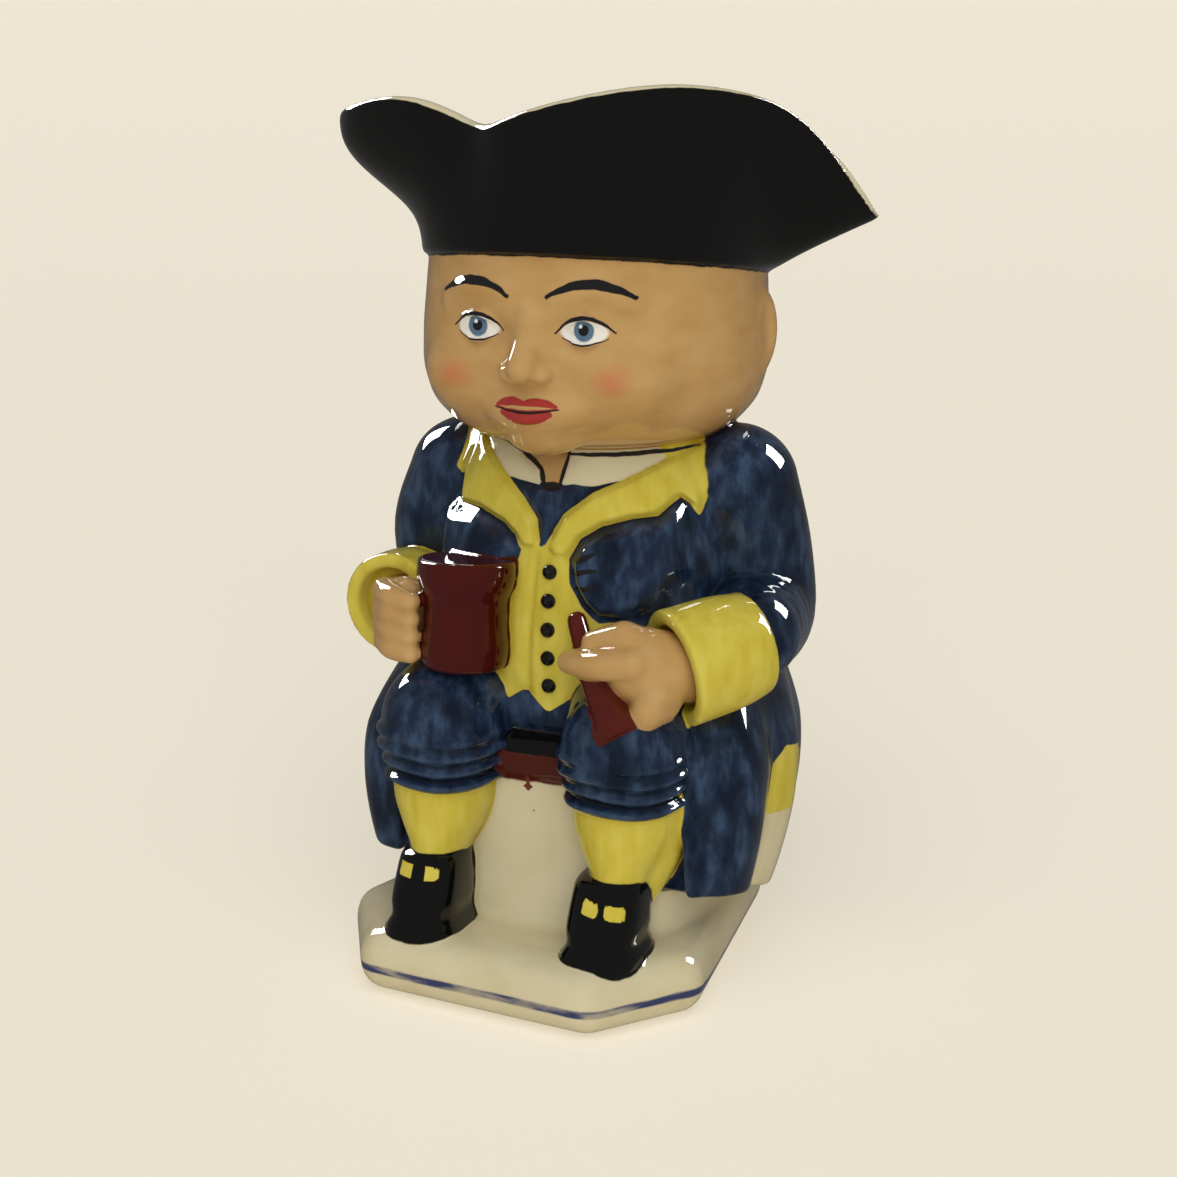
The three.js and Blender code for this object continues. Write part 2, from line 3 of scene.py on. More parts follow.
import bpy
import numpy as np
import openvdb
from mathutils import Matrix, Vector


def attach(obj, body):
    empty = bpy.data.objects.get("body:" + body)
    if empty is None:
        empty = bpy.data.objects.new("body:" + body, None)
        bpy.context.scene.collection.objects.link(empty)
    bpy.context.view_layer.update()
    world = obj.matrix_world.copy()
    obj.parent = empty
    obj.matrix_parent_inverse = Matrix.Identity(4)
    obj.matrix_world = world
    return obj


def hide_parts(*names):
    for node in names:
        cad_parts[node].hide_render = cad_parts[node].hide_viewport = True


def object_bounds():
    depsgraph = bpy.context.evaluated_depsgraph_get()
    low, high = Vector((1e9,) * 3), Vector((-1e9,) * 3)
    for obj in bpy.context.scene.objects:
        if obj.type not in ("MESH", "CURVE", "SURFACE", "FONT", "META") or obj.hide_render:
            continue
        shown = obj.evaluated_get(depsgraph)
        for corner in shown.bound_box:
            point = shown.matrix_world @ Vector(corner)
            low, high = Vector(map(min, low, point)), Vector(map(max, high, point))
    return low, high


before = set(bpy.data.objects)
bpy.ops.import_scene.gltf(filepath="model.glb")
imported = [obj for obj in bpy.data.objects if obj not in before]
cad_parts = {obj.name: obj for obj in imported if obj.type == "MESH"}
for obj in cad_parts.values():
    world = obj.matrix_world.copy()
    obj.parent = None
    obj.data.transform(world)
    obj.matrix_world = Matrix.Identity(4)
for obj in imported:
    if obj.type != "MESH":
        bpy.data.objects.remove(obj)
cad_low, cad_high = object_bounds()

MM = 0.001
NODE = "toby_jug"
STEP = 0.75
PIECE_TRIANGLES = 190_000
FAR = 8.0
GRID_SPARE = 3.0
GRID_TOP = 243
FORM_MARGIN = 4.0
SLOPE_REACH = 0.6

# Where the figure's own middle stands in the part's frame
SHIFT = (-4.6, -10.5)

# Driving dimensions, in millimetres
WALL = 4.2
BASE = {"x": -1.8, "high": 18, "round": 4.6, "corner": 9, "turn": -4}
BASE_SIDE = [(35, -69), (49.6, -48), (36.5, 34), (25, 46)]
FOOT = {"inset": 13, "rise": 2}
LEG_X = 26.5

# Plan sections of the upright forms: height, half width, front, back, squareness before and behind
SEAT = [(12, 40, -50, 38, 4, 4), (24, 39, -47, 38, 4, 4), (62, 39, -45, 38, 4, 4)]
CUSHION = [(58, 42, -45.5, 38, 5, 5), (64, 43.5, -47, 38, 5, 5), (71, 42, -45, 38, 5, 5)]
TORSO = [
    (60, 38, -37.5, 36, 2.4, 2.4),
    (76, 41, -40.5, 36, 2.4, 2.4),
    (90, 43, -42.5, 36, 2.3, 2.3),
    (105, 43, -41.5, 35, 2.3, 2.3),
    (120, 42, -38.5, 33, 2.3, 2.3),
    (132, 39, -35, 30, 2.2, 2.2),
    (142, 34, -31.5, 27, 2.1, 2.1),
    (155, 26, -25, 24, 2, 2),
]
COAT = [
    (13, 48, -46, 42, 7, 2.6),
    (30, 53.5, -47.5, 45, 7, 2.7),
    (50, 57.5, -48, 46, 6, 2.8),
    (66, 58, -47, 44, 5, 2.8),
    (82, 53.5, -42, 41, 3.4, 2.6),
    (104, 43, -30, 35.5, 2.4, 2.4),
]
HEAD = [
    (145, 26, -26, 24, 2, 2),
    (149, 35, -37, 33, 2.1, 2.1),
    (155, 42, -44.5, 38, 2.1, 2.1),
    (164, 46, -48.5, 41.5, 2.1, 2.1),
    (175, 46.4, -49.5, 43, 2.1, 2.1),
    (187, 45.6, -48.5, 43, 2.1, 2.1),
    (203, 44.2, -46.5, 42, 2.1, 2.1),
]
CAVITY = [
    (8, 33, -38, 30, 4, 4),
    (58, 34, -40, 32, 4, 4),
    (84, 38, -37, 31.5, 2.4, 2.4),
    (105, 38.8, -37, 30.7, 2.3, 2.3),
    (125, 37, -33, 28, 2.2, 2.2),
    (138, 31, -27.5, 24, 2.1, 2.1),
    (146, 26, -23.5, 21.5, 2, 2),
    (153, 33, -34.5, 30, 2, 2),
    (161, 41, -42.5, 36, 2.1, 2.1),
    (180, 42.8, -45, 38.5, 2.1, 2.1),
    (206, 39.8, -41.5, 37.8, 2.1, 2.1),
]
COAT_CAVITY = [
    (36, 45, -33, 38, 5, 2.6),
    (46, 49.5, -35.5, 40.5, 5, 2.7),
    (62, 51.5, -35.5, 40, 5, 2.8),
    (82, 47.5, -34, 36.5, 3.4, 2.6),
    (100, 38.5, -30, 30.5, 2.4, 2.4),
]

# The hat's crown line, its rim, and the lobes of the turned-up brim: angle, width, amount
HAT = {"foot": 198, "foot_front": -47, "foot_tilt": 0.13, "proud": 2.4, "rim": 225, "reach": 52.5}
BRIM_REACH = [(-68, 24, 17.5), (-22, 13, -5), (70, 14, 1.5), (98, 18, 25), (-172, 24, 12)]
BRIM_RISE = [(43, 57.5, 15), (-40, 28, 11.5), (-70, 16, 2.5), (-21, 18, -6), (98, 13.5, -24)]
SPOUT = (-72, 30)

# Arms and shoulders: points down the middle, with the radius there
SHOULDERS = [(-36, -3, 134, 15), (0, -2, 135, 16), (36, -1, 134, 15)]
LAP_CLOTH = {"middle": (0, -28, 77), "radii": (34, 16, 11)}
LEFT_SLEEVE = [(39.5, 0, 134, 17), (43.5, 3, 118, 16), (44.5, 4, 102, 16.6), (51.5, -20, 99, 13)]
RIGHT_SLEEVE = [(-39, -6, 133, 15.5), (-44.5, -6, 118, 15.5), (-46, -4, 103, 14.5), (-48, -22, 100, 12)]
LEFT_CUFF = {"from": (55, -27, 98.5), "to": (38.5, -44.5, 94), "r0": 14.2, "r1": 15.8, "lip": 4}
RIGHT_CUFF = {"from": (-47, -18, 100.5), "to": (-47.5, -37, 100.5), "r0": 12.8, "r1": 14.4, "lip": 5}

# Legs
THIGH = [(-20, 79, 15), (-38, 75.5, 17.5), (-46, 73, 17.2)]
KNEE = [
    (55.5, 13.6, -59.6, -33, 2, 2),
    (58, 15.2, -61.6, -33, 2, 2),
    (61, 15.4, -61.6, -33, 2, 2),
    (66, 16.8, -63, -33, 2, 2),
    (72, 17.6, -63.6, -33, 2, 2),
]
STOCKING = [
    (32, 7, -59.6, -40, 2, 2),
    (38, 7.8, -59.4, -38, 2, 2),
    (46, 11.8, -59.8, -34, 2, 2),
    (52, 13.8, -60.4, -33, 2, 2),
    (58, 14.2, -60.5, -32, 2, 2),
]
STOCKING_WEB = [(34.5, -41, 57, 8.5), (34, -42, 45, 7), (31, -44, 32, 4)]
SHOE = [
    (15, 9.8, -67.8, -42, 3, 3),
    (19.6, 10, -68, -42, 3, 3),
    (20.8, 9.3, -67.2, -42, 3, 3),
    (26, 9.4, -65.8, -42, 3, 3),
    (32, 9.2, -63.2, -42, 2.8, 2.8),
    (36.5, 8.7, -61.4, -42, 2.6, 2.6),
    (38.5, 8.2, -60.6, -42, 2.6, 2.6),
]
SHOES = {-1: {"x": -27, "wider": 1.02}, 1: {"x": 24.8, "wider": 1.06}}

# Hands, mug, pipe and handle
MUG = {"x": -19.2, "y": -48.5, "foot": 89, "high": 29.5, "lean": 0.08}
MUG_PROFILE = [(0, 10.8), (0.08, 11.4), (0.45, 11.2), (0.66, 11.5), (0.74, 12.6), (1, 13.2)]
MUG_NUB = [(-29.5, -54, 108, 1.8), (-32, -54, 106, 1.7), (-31.5, -54, 103, 1.5)]
PIPE = {"stem": (12.6, -46.5, 104.6), "grip": (19, -53, 93.5), "bowl": (29.6, -57.5, 78.5), "r": 2.6}
BOWL_PROFILE = [(0, 3.2), (0.25, 3.9), (0.6, 4.8), (0.9, 6.6), (1, 6.6)]
FINGERS = {"r": 3.3, "count": 4, "pitch": 4.7, "top": 108.5}
HANDLE = [
    (37, 196), (58, 198), (76, 186), (84.5, 167), (85, 149), (79, 125), (66, 106), (50, 94), (38, 86),
]
HANDLE_HALF_WIDE = 8.6
HANDLE_HALF_THICK = 6.8
BUTTONS = {"top": (2.4, -40.9, 115.4), "middle": (2.9, -44.6, 101), "low": (3, -43.2, 85), "count": 5}
BUTTON_SIZE = (2.05, 1.7, 2.05)


# Small tools for distances
def smooth_min(a, b, blend):
    """The nearer of two distances, with a fillet of this size where they meet."""
    if blend <= 0:
        return np.minimum(a, b)
    near = np.maximum(blend - np.abs(a - b), 0) / blend
    return np.minimum(a, b) - near * near * blend * 0.25


def smooth_max(a, b, blend):
    return -smooth_min(-a, -b, blend)


def smooth_step(low, high, value):
    t = np.clip((value - low) / (high - low), 0, 1)
    return t * t * (3 - 2 * t)


def flowing(at, places, values):
    """A smooth curve through values given at places."""
    places = np.asarray(places, np.float32)
    values = np.asarray(values, np.float32)
    slopes = np.gradient(values, places)
    k = np.clip(np.searchsorted(places, at) - 1, 0, len(places) - 2)
    span = places[k + 1] - places[k]
    t = np.clip((at - places[k]) / span, 0, 1)
    start = (1 + 2 * t) * (1 - t) ** 2 * values[k] + t * (1 - t) ** 2 * span * slopes[k]
    end = t * t * (3 - 2 * t) * values[k + 1] + t * t * (t - 1) * span * slopes[k + 1]
    return (start + end).astype(np.float32)


def smooth_line(points, steps=6):
    """More points on a smooth line through the given ones."""
    points = np.asarray(points, np.float32)
    if len(points) < 3:
        return points
    marks = np.concatenate([[0], np.cumsum(np.linalg.norm(np.diff(points[:, :3], axis=0), axis=1))])
    at = np.concatenate([np.linspace(a, b, steps, endpoint=False) for a, b in zip(marks, marks[1:])])
    at = np.append(at, marks[-1])
    return np.stack([flowing(at, marks, points[:, k]) for k in range(points.shape[1])], axis=1)


class Form:
    """A shape given by its distance from any point, the box it lies in, and how softly it joins."""

    def __init__(self, distance, low, high, blend=1.0):
        self.distance = distance
        self.low = np.asarray(low, float)
        self.high = np.asarray(high, float)
        self.blend = blend

    def __call__(self, x, y, z):
        return self.distance(x, y, z)


def joined(*forms, blend=1.0):
    def distance(x, y, z):
        total = forms[0](x, y, z)
        for form in forms[1:]:
            total = smooth_min(total, form(x, y, z), form.blend)
        return total

    low = np.min([f.low for f in forms], axis=0)
    high = np.max([f.high for f in forms], axis=0)
    return Form(distance, low, high, blend)


def upright(levels, edge=2.0, blend=1.0, relief=None, x0=0.0, narrowing=0.0):
    """An upright form through plan sections; relief(x, y, z) raises its side."""
    heights, wide, front, back, square, square_back = np.array(levels, np.float32).T

    def distance(x, y, z):
        w, f, b = (flowing(z, heights, v) for v in (wide, front, back))
        n = np.interp(z, heights, square).astype(np.float32)
        nb = np.interp(z, heights, square_back).astype(np.float32)
        middle, reach = (f + b) / 2, (b - f) / 2
        n = np.where(y > middle, nb, n)
        w = w * (1 - narrowing * np.maximum(y, 0))
        ux, uy = np.abs(x - x0) / w, np.abs(y - middle) / reach
        spread = np.maximum((ux**n + uy**n) ** (1 / n), 1e-3)
        rho = np.sqrt((x - x0) ** 2 + (y - middle) ** 2)
        side = rho * (1 - 1 / spread)
        if relief is not None:
            side = side - relief(x, y, z)
        ends = np.maximum(heights[0] - z, z - heights[-1])
        return smooth_max(side, ends, edge)

    reach = wide.max() + 4
    low = (x0 - reach, front.min() - 6, heights[0])
    high = (x0 + reach, back.max() + 6, heights[-1])
    return Form(distance, low, high, blend)


def ball(center, radii, blend=2.0, turn=0.0):
    """A round or oval lump, turned about the upright by degrees."""
    c, s = math.cos(math.radians(turn)), math.sin(math.radians(turn))
    rx, ry, rz = radii

    def distance(x, y, z):
        dx, dy, dz = x - center[0], y - center[1], (z - center[2]) / rz
        u, v = (c * dx + s * dy) / rx, (-s * dx + c * dy) / ry
        near = np.sqrt(u * u + v * v + dz * dz)
        steep = np.sqrt((u / rx) ** 2 + (v / ry) ** 2 + (dz / rz) ** 2)
        return near * (near - 1) / np.maximum(steep, 1e-4)

    reach = np.array([max(rx, ry), max(rx, ry), rz]) * 1.02
    return Form(distance, np.array(center) - reach, np.array(center) + reach, blend)


def limb(points, blend=1.5, steps=6, squash=(1, 1, 1)):
    """A round bar through points x, y, z, radius. squash below 1 makes it wider on that axis."""
    line = smooth_line(points, steps)
    sx, sy, sz = squash

    def distance(x, y, z):
        total = None
        for a, b in zip(line, line[1:]):
            bx, by, bz = (b[:3] - a[:3]) * np.array(squash, np.float32)
            px, py, pz = (x - a[0]) * sx, (y - a[1]) * sy, (z - a[2]) * sz
            share = np.clip((px * bx + py * by + pz * bz) / (bx * bx + by * by + bz * bz), 0, 1)
            gap = np.sqrt((px - share * bx) ** 2 + (py - share * by) ** 2 + (pz - share * bz) ** 2)
            here = gap - (a[3] + share * (b[3] - a[3]))
            total = here if total is None else np.minimum(total, here)
        return total

    reach = line[:, 3:] / np.array(squash)
    return Form(distance, (line[:, :3] - reach).min(0), (line[:, :3] + reach).max(0), blend)


def turned(foot, top, profile, edge=0.8, blend=1.0):
    """A turned form between two points, from pairs of share of the way and radius."""
    foot, top = np.array(foot, np.float32), np.array(top, np.float32)
    length = float(np.linalg.norm(top - foot))
    ax, ay, az = (top - foot) / length
    shares, radii = np.array(profile, np.float32).T

    def distance(x, y, z):
        px, py, pz = x - foot[0], y - foot[1], z - foot[2]
        along = px * ax + py * ay + pz * az
        rho = np.sqrt((px - along * ax) ** 2 + (py - along * ay) ** 2 + (pz - along * az) ** 2)
        radius = flowing(along / length, shares, radii)
        return smooth_max(rho - radius, np.maximum(-along, along - length), edge)

    reach = radii.max()
    return Form(distance, np.minimum(foot, top) - reach, np.maximum(foot, top) + reach, blend)


def outline(points, corner=0.0):
    """Signed distance inside a flat closed outline, below nought within it."""
    points = np.asarray(points, np.float32)

    def distance(u, v):
        nearest, inside = np.float32(1e6), False
        for (au, av), (bu, bv) in zip(points, np.roll(points, -1, axis=0)):
            eu, ev = bu - au, bv - av
            share = np.clip(((u - au) * eu + (v - av) * ev) / (eu * eu + ev * ev), 0, 1)
            gap = (u - au - share * eu) ** 2 + (v - av - share * ev) ** 2
            nearest = np.minimum(nearest, gap)
            crosses = (av > v) != (bv > v)
            level = ev if abs(ev) > 1e-6 else 1e-6
            inside = inside ^ (crosses & (u < au + (v - av) * eu / level))
        return np.where(inside, -1, 1) * np.sqrt(nearest) - corner

    return distance


# Base: a slab with cut corners, narrower behind, on a shallow foot ring
def base_outline(inset):
    half = [(x - inset, y - math.copysign(inset, y)) for x, y in BASE_SIDE]
    return outline(half + [(-x, y) for x, y in reversed(half)], corner=BASE["corner"])


def turned_plan(x, y):
    c, s = math.cos(math.radians(BASE["turn"])), math.sin(math.radians(BASE["turn"]))
    dx = x - BASE["x"]
    return c * dx + s * y, -s * dx + c * y


def make_base():
    plan = base_outline(BASE["corner"] * 0.6)

    def distance(x, y, z):
        side = plan(*turned_plan(x, y))
        ends = np.maximum(-z, z - BASE["high"])
        return smooth_max(side, ends, BASE["round"] * 2)

    return Form(distance, (-60, -78, 0), (60, 54, BASE["high"]), blend=1.5)


def make_foot_recess():
    plan = base_outline(FOOT["inset"])

    def distance(x, y, z):
        return np.maximum(plan(*turned_plan(x, y)), z - FOOT["rise"])

    return Form(distance, (-60, -78, -3), (60, 54, FOOT["rise"]), blend=1.0)


# Coat skirts: deep folds below the waist, open in front between the legs
COAT_FOLDS = {"count": 12, "deep": 2.5, "top": 92, "fade": 46, "narrowing": 0.0022}
HEM = {"front": 31, "drop": 14, "from": -46, "to": 20}
LAP_BACK = -40
LAP = [(-43.5, 8), (43.5, 8), (42, 46), (42, 92), (-42, 92), (-42, 46)]


def coat_folds(x, y, z):
    hang = smooth_step(0, 1, (COAT_FOLDS["top"] - z) / COAT_FOLDS["fade"])
    turn = np.arctan2(y, x)
    wave = np.cos(turn * COAT_FOLDS["count"] + 0.8 * np.sin(3 * turn + 1))
    turn_in = np.minimum(wave, 0) * np.abs(wave) ** 0.6
    return (np.maximum(wave, 0) * 0.6 + turn_in) * COAT_FOLDS["deep"] * hang


def hem_height(y):
    return HEM["front"] - HEM["drop"] * smooth_step(HEM["from"], HEM["to"], y)


def make_coat():
    skirts = upright(COAT, 3, 2.0, coat_folds, narrowing=COAT_FOLDS["narrowing"])
    lap = outline(LAP)

    def distance(x, y, z):
        hung = smooth_max(skirts(x, y, z), hem_height(y) - z, 2.0)
        opening = np.maximum(lap(x, z), y - LAP_BACK)
        return smooth_max(hung, -opening, 2.0)

    return Form(distance, skirts.low, skirts.high, blend=2.0)


# Dress on the chest: flat outlines in x and z, raised from the body
WAISTCOAT = [
    (-24, 83), (-13.3, 77.4), (-5, 83), (-3.2, 83), (3, 78), (13, 84.8), (20, 90), (22, 104), (12, 108),
    (7, 119), (4.1, 129.8), (1.9, 125), (-2.1, 123), (-3.1, 128.4), (-9, 124), (-9, 116), (-13, 106),
    (-24, 100),
]
LEFT_LAPEL = [
    (0.2, 121.4), (1.9, 125), (4.1, 129.8), (11.4, 135.7), (18.4, 139), (30.6, 145.7), (40, 151), (52, 155),
    (47, 146), (41, 141), (38, 135), (36, 129.5), (34, 132.5), (31.8, 134.5), (27.9, 130.3), (22.2, 129.7),
    (15.1, 127.8), (9.5, 124.3), (7, 119), (3, 119),
]
RIGHT_LAPEL = [
    (-1.2, 121), (-2.1, 124.5), (-3.1, 128.4), (-8.1, 133.8), (-13.7, 138.2), (-20, 143), (-28, 149),
    (-40, 154), (-36, 147), (-37, 140), (-37.5, 135.5), (-31.4, 136), (-30.2, 129.4), (-21.8, 129.5),
    (-13.3, 126.9), (-9.1, 124), (-6.3, 120.5),
]
LEFT_FLAP = [
    (7, 119), (9.5, 124.3), (15.1, 127.8), (22.2, 129.7), (27.9, 130.3), (31.8, 134.5), (34, 132.5),
    (36, 128), (37, 116), (32, 107), (29, 105), (22, 103.2), (16, 103), (11.6, 107), (8, 112.6),
]
RIGHT_FLAP = [
    (-6.3, 120.5), (-9.1, 124), (-13.3, 126.9), (-21.8, 129.5), (-30.2, 129.4), (-35, 132), (-37, 124),
    (-35, 108), (-14, 106), (-8, 113),
]
NECKCLOTH = [
    (-14, 138.4), (-8, 137.4), (-2.6, 136.8), (2, 136.9), (6, 137.6), (11.7, 138.4), (8, 133.4),
    (4.1, 129.8), (1.9, 125), (0.6, 121.8), (-1.4, 121.6), (-2.1, 124.5), (-3.1, 128.4), (-8.1, 133.8),
]
RIGHT_COLLAR = [
    (-13.7, 138.2), (-20, 143), (-28, 149), (-33, 154), (-10, 150), (-10.6, 144.8), (-3.9, 141.5),
    (-2.6, 136.8), (-8, 137.4),
]
LEFT_COLLAR = [
    (2, 136.9), (3.4, 145.2), (3.4, 150), (33, 152), (31, 146), (18.4, 139), (11.4, 137.2), (6, 137.6),
]
NECK_OPENING = [(-10, 150), (-10.6, 144.8), (-3.9, 141.5), (-2.6, 137), (2, 137), (3.4, 145.2), (3.4, 150)]
FRONT_OF_BODY = -4.0
DRESS_FROM = 70
GROOVE = {"x": -1.7, "slant": 0.035, "top": 123, "low": 79, "wide": 0.8, "deep": 0.9, "fade": (4, 6)}
RAISED = [
    (WAISTCOAT, 1.2, 1.4),
    (NECKCLOTH, 1.4, 2.2),
    (RIGHT_COLLAR, 1.0, 1.2),
    (LEFT_COLLAR, 1.0, 1.2),
    (LEFT_LAPEL, 2.3, 1.8),
    (RIGHT_LAPEL, 2.3, 1.8),
    (LEFT_FLAP, 4.4, 4.5),
    (RIGHT_FLAP, 4.4, 4.5),
]
DRESS = [
    ("yellow", WAISTCOAT),
    ("skin", NECK_OPENING),
    ("blue", NECKCLOTH),
    ("cream", RIGHT_COLLAR),
    ("cream", LEFT_COLLAR),
    ("yellow", LEFT_LAPEL),
    ("yellow", RIGHT_LAPEL),
    ("blue", LEFT_FLAP),
    ("blue", RIGHT_FLAP),
]


def chest_relief(x, y, z):
    height = np.float32(0)
    for points, high, edge in RAISED:
        inside = -outline(points)(x, z)
        height = np.maximum(height, high * smooth_step(-0.3, edge, inside))
    middle = GROOVE["x"] - GROOVE["slant"] * (GROOVE["top"] - z)
    low, top, (fade_low, fade_top) = GROOVE["low"], GROOVE["top"], GROOVE["fade"]
    along = smooth_step(low, low + fade_low, z) * smooth_step(top, top - fade_top, z)
    groove = GROOVE["deep"] * np.exp(-(((x - middle) / GROOVE["wide"]) ** 2)) * along
    return (height - groove) * (y < FRONT_OF_BODY)


# The coat's collar stands up round the back of the neck
COLLAR = [(136, 36, -33, 32, 2.1, 2.1), (149, 34, -32, 31, 2.1, 2.1), (153, 35, -33, 32, 2.1, 2.1)]
COLLAR_FROM = -20


def make_coat_collar():
    ring = upright(COLLAR, 2.5)

    def distance(x, y, z):
        return smooth_max(ring(x, y, z), COLLAR_FROM - y, 2.0)

    return Form(distance, ring.low, ring.high, blend=1.0)


def make_body():
    torso = upright(TORSO, 3, 2.0, chest_relief)
    shoulders = limb(SHOULDERS, blend=4, steps=1)
    lap_cloth = ball(LAP_CLOTH["middle"], LAP_CLOTH["radii"], blend=3)
    return joined(torso, shoulders, lap_cloth, blend=1.5)


# Arms: sleeve, then a turned-back cuff that stands open round the wrist
def make_cuff(cuff):
    start, end = np.array(cuff["from"], float), np.array(cuff["to"], float)
    length = np.linalg.norm(end - start)
    outer = turned(start, end, [(0, cuff["r0"] - 1), (0.15, cuff["r0"]), (1, cuff["r1"])], edge=1.6)
    floor = start + (end - start) * (1 - cuff["lip"] / length)
    past = end + (end - start) / length * 3
    inner = turned(floor, past, [(0, cuff["r1"] - 5), (1, cuff["r1"] - 3.4)], edge=1.2)

    def distance(x, y, z):
        return smooth_max(outer(x, y, z), -inner(x, y, z), 1.4)

    return Form(distance, outer.low, outer.high, blend=1.2)


PIPE_PALM = {"middle": (32, -50, 95.5), "radii": (9.5, 9, 10.2), "turn": 20}
PIPE_WRIST = [(42, -42, 94.5, 9.5), (34, -48, 95, 9.5)]
POINTING = [(32, -57, 98, 4.4), (23, -57, 96.6, 4), (17.5, -55, 95.8, 3.7), (13, -52.6, 95.2, 3.1)]
PIPE_THUMB = [(28, -52, 103, 4.6), (20, -52.5, 101, 3.4)]
CURLED = {"back": (40, -51, 92, 4.4), "front": (38.4, -55.6, 90.6, 4.1), "count": 3, "pitch": 3}
MUG_PALM = {"middle": (-38, -46, 101), "radii": (7.5, 8, 10.5)}
MUG_WRIST = [(-46, -33, 100, 8), (-40, -43, 100.5, 8.5)]


def make_pipe_hand():
    palm = ball(PIPE_PALM["middle"], PIPE_PALM["radii"], turn=PIPE_PALM["turn"])
    (bx, by, bz, br), (fx, fy, fz, fr) = CURLED["back"], CURLED["front"]
    curled = []
    for k in range(CURLED["count"]):
        down = k * CURLED["pitch"]
        curled.append(limb([(bx - k, by, bz - down, br), (fx - k * 1.5, fy, fz - down, fr)], blend=2.2))
    thumb = limb(PIPE_THUMB, blend=2.5)
    return joined(palm, limb(PIPE_WRIST, blend=2), *curled, thumb, limb(POINTING, blend=1.4), blend=1.0)


def make_mug_hand():
    back = ball(MUG_PALM["middle"], MUG_PALM["radii"])
    r = FINGERS["r"]
    fingers = []
    for k in range(FINGERS["count"]):
        z = FINGERS["top"] - k * FINGERS["pitch"]
        line = [(-42, -50, z, r), (-37, -54.6, z - 0.4, r), (-31, -56.6, z - 0.8, r - 0.6)]
        fingers.append(limb(line, blend=1.6))
    return joined(back, limb(MUG_WRIST, blend=2), *fingers, blend=1.0)


def make_mug():
    foot = (MUG["x"], MUG["y"], MUG["foot"])
    top = (MUG["x"], MUG["y"] + MUG["lean"] * MUG["high"], MUG["foot"] + MUG["high"])
    body = turned(foot, top, MUG_PROFILE, edge=1.8)
    return joined(body, limb(MUG_NUB, blend=0.8), blend=0.8)


def make_pipe():
    stem = limb([(*PIPE["stem"], PIPE["r"]), (*PIPE["grip"], PIPE["r"] + 0.4)])
    bowl = turned(PIPE["grip"], PIPE["bowl"], BOWL_PROFILE, edge=1.4, blend=1.5)
    return joined(stem, bowl, blend=0.8)


# Legs: breeches gathered in rings at the knee, stocking, and a buckled shoe
RINGS = {"from": 58.5, "pitch": 4.4, "deep": 1.1, "top": 77, "fade": 69}


def knee_rings(x, y, z):
    turns = (z - RINGS["from"]) / RINGS["pitch"] * 2 * math.pi
    ring = np.cos(turns + 0.7 * np.sin(x * 0.22) + 0.4 * np.sin(y * 0.3))
    return RINGS["deep"] * ring * smooth_step(RINGS["top"], RINGS["fade"], z)


def make_breeches(side):
    x = side * LEG_X
    thigh = limb([(x - side * 1.5 * (2 - k), y, z, r) for k, (y, z, r) in enumerate(THIGH)], blend=2)
    rings = upright(KNEE, 2, 2.5, knee_rings, x0=x)
    return joined(thigh, rings, blend=1.5)


def make_stocking(side):
    calf = upright(STOCKING, 1, 1.5, x0=side * LEG_X)
    web = limb([(side * x, y, z, r) for x, y, z, r in STOCKING_WEB], blend=3)
    return joined(calf, web, blend=1.5)


def make_shoe(side):
    x, wider = SHOES[side]["x"], SHOES[side]["wider"]
    levels = [(z, w * wider, *rest) for z, w, *rest in SHOE]
    return upright(levels, 2, 0.8, x0=x)


# Head
FACE = {"brow": 188, "eye": 179.5, "nose": 168, "mouth": 159.5, "chin": 152, "eye_x": 14.5, "front": -49}
EAR_TURN = 14


def lid(side, rise, r):
    """An eyelid's bow across the eye, above it or below it."""
    front, eye, middle = FACE["front"], FACE["eye"], FACE["eye_x"]
    bow = [(-6.6, 4.6, 0), (-3.4, 1.9, 0.72), (0.3, 1.5, 1), (4, 3.2, 0.66), (6.8, 6.2, -0.1)]
    return limb([(side * (middle + u), front + v, eye + rise * w, r) for u, v, w in bow], blend=0.9)


def mouth_bow(points, r):
    front, mouth = FACE["front"], FACE["mouth"]
    whole = [(-u, v, w) for u, v, w in points[::-1] if u] + points
    return limb([(u, front + v, mouth + w, r * (1.1 - abs(u) / 14)) for u, v, w in whole], blend=0.7)


def make_ear(side):
    turn = -side * EAR_TURN
    shell = ball((side * 44.4, 2, 176), (3.8, 7.2, 11.5), 1.5, turn=turn)
    hollow = ball((side * 48.6, 0.5, 177), (2.8, 4.2, 7.4), turn=turn)

    def distance(x, y, z):
        return smooth_max(shell(x, y, z), -hollow(x, y, z), 1.6)

    return Form(distance, shell.low, shell.high, blend=1.5)


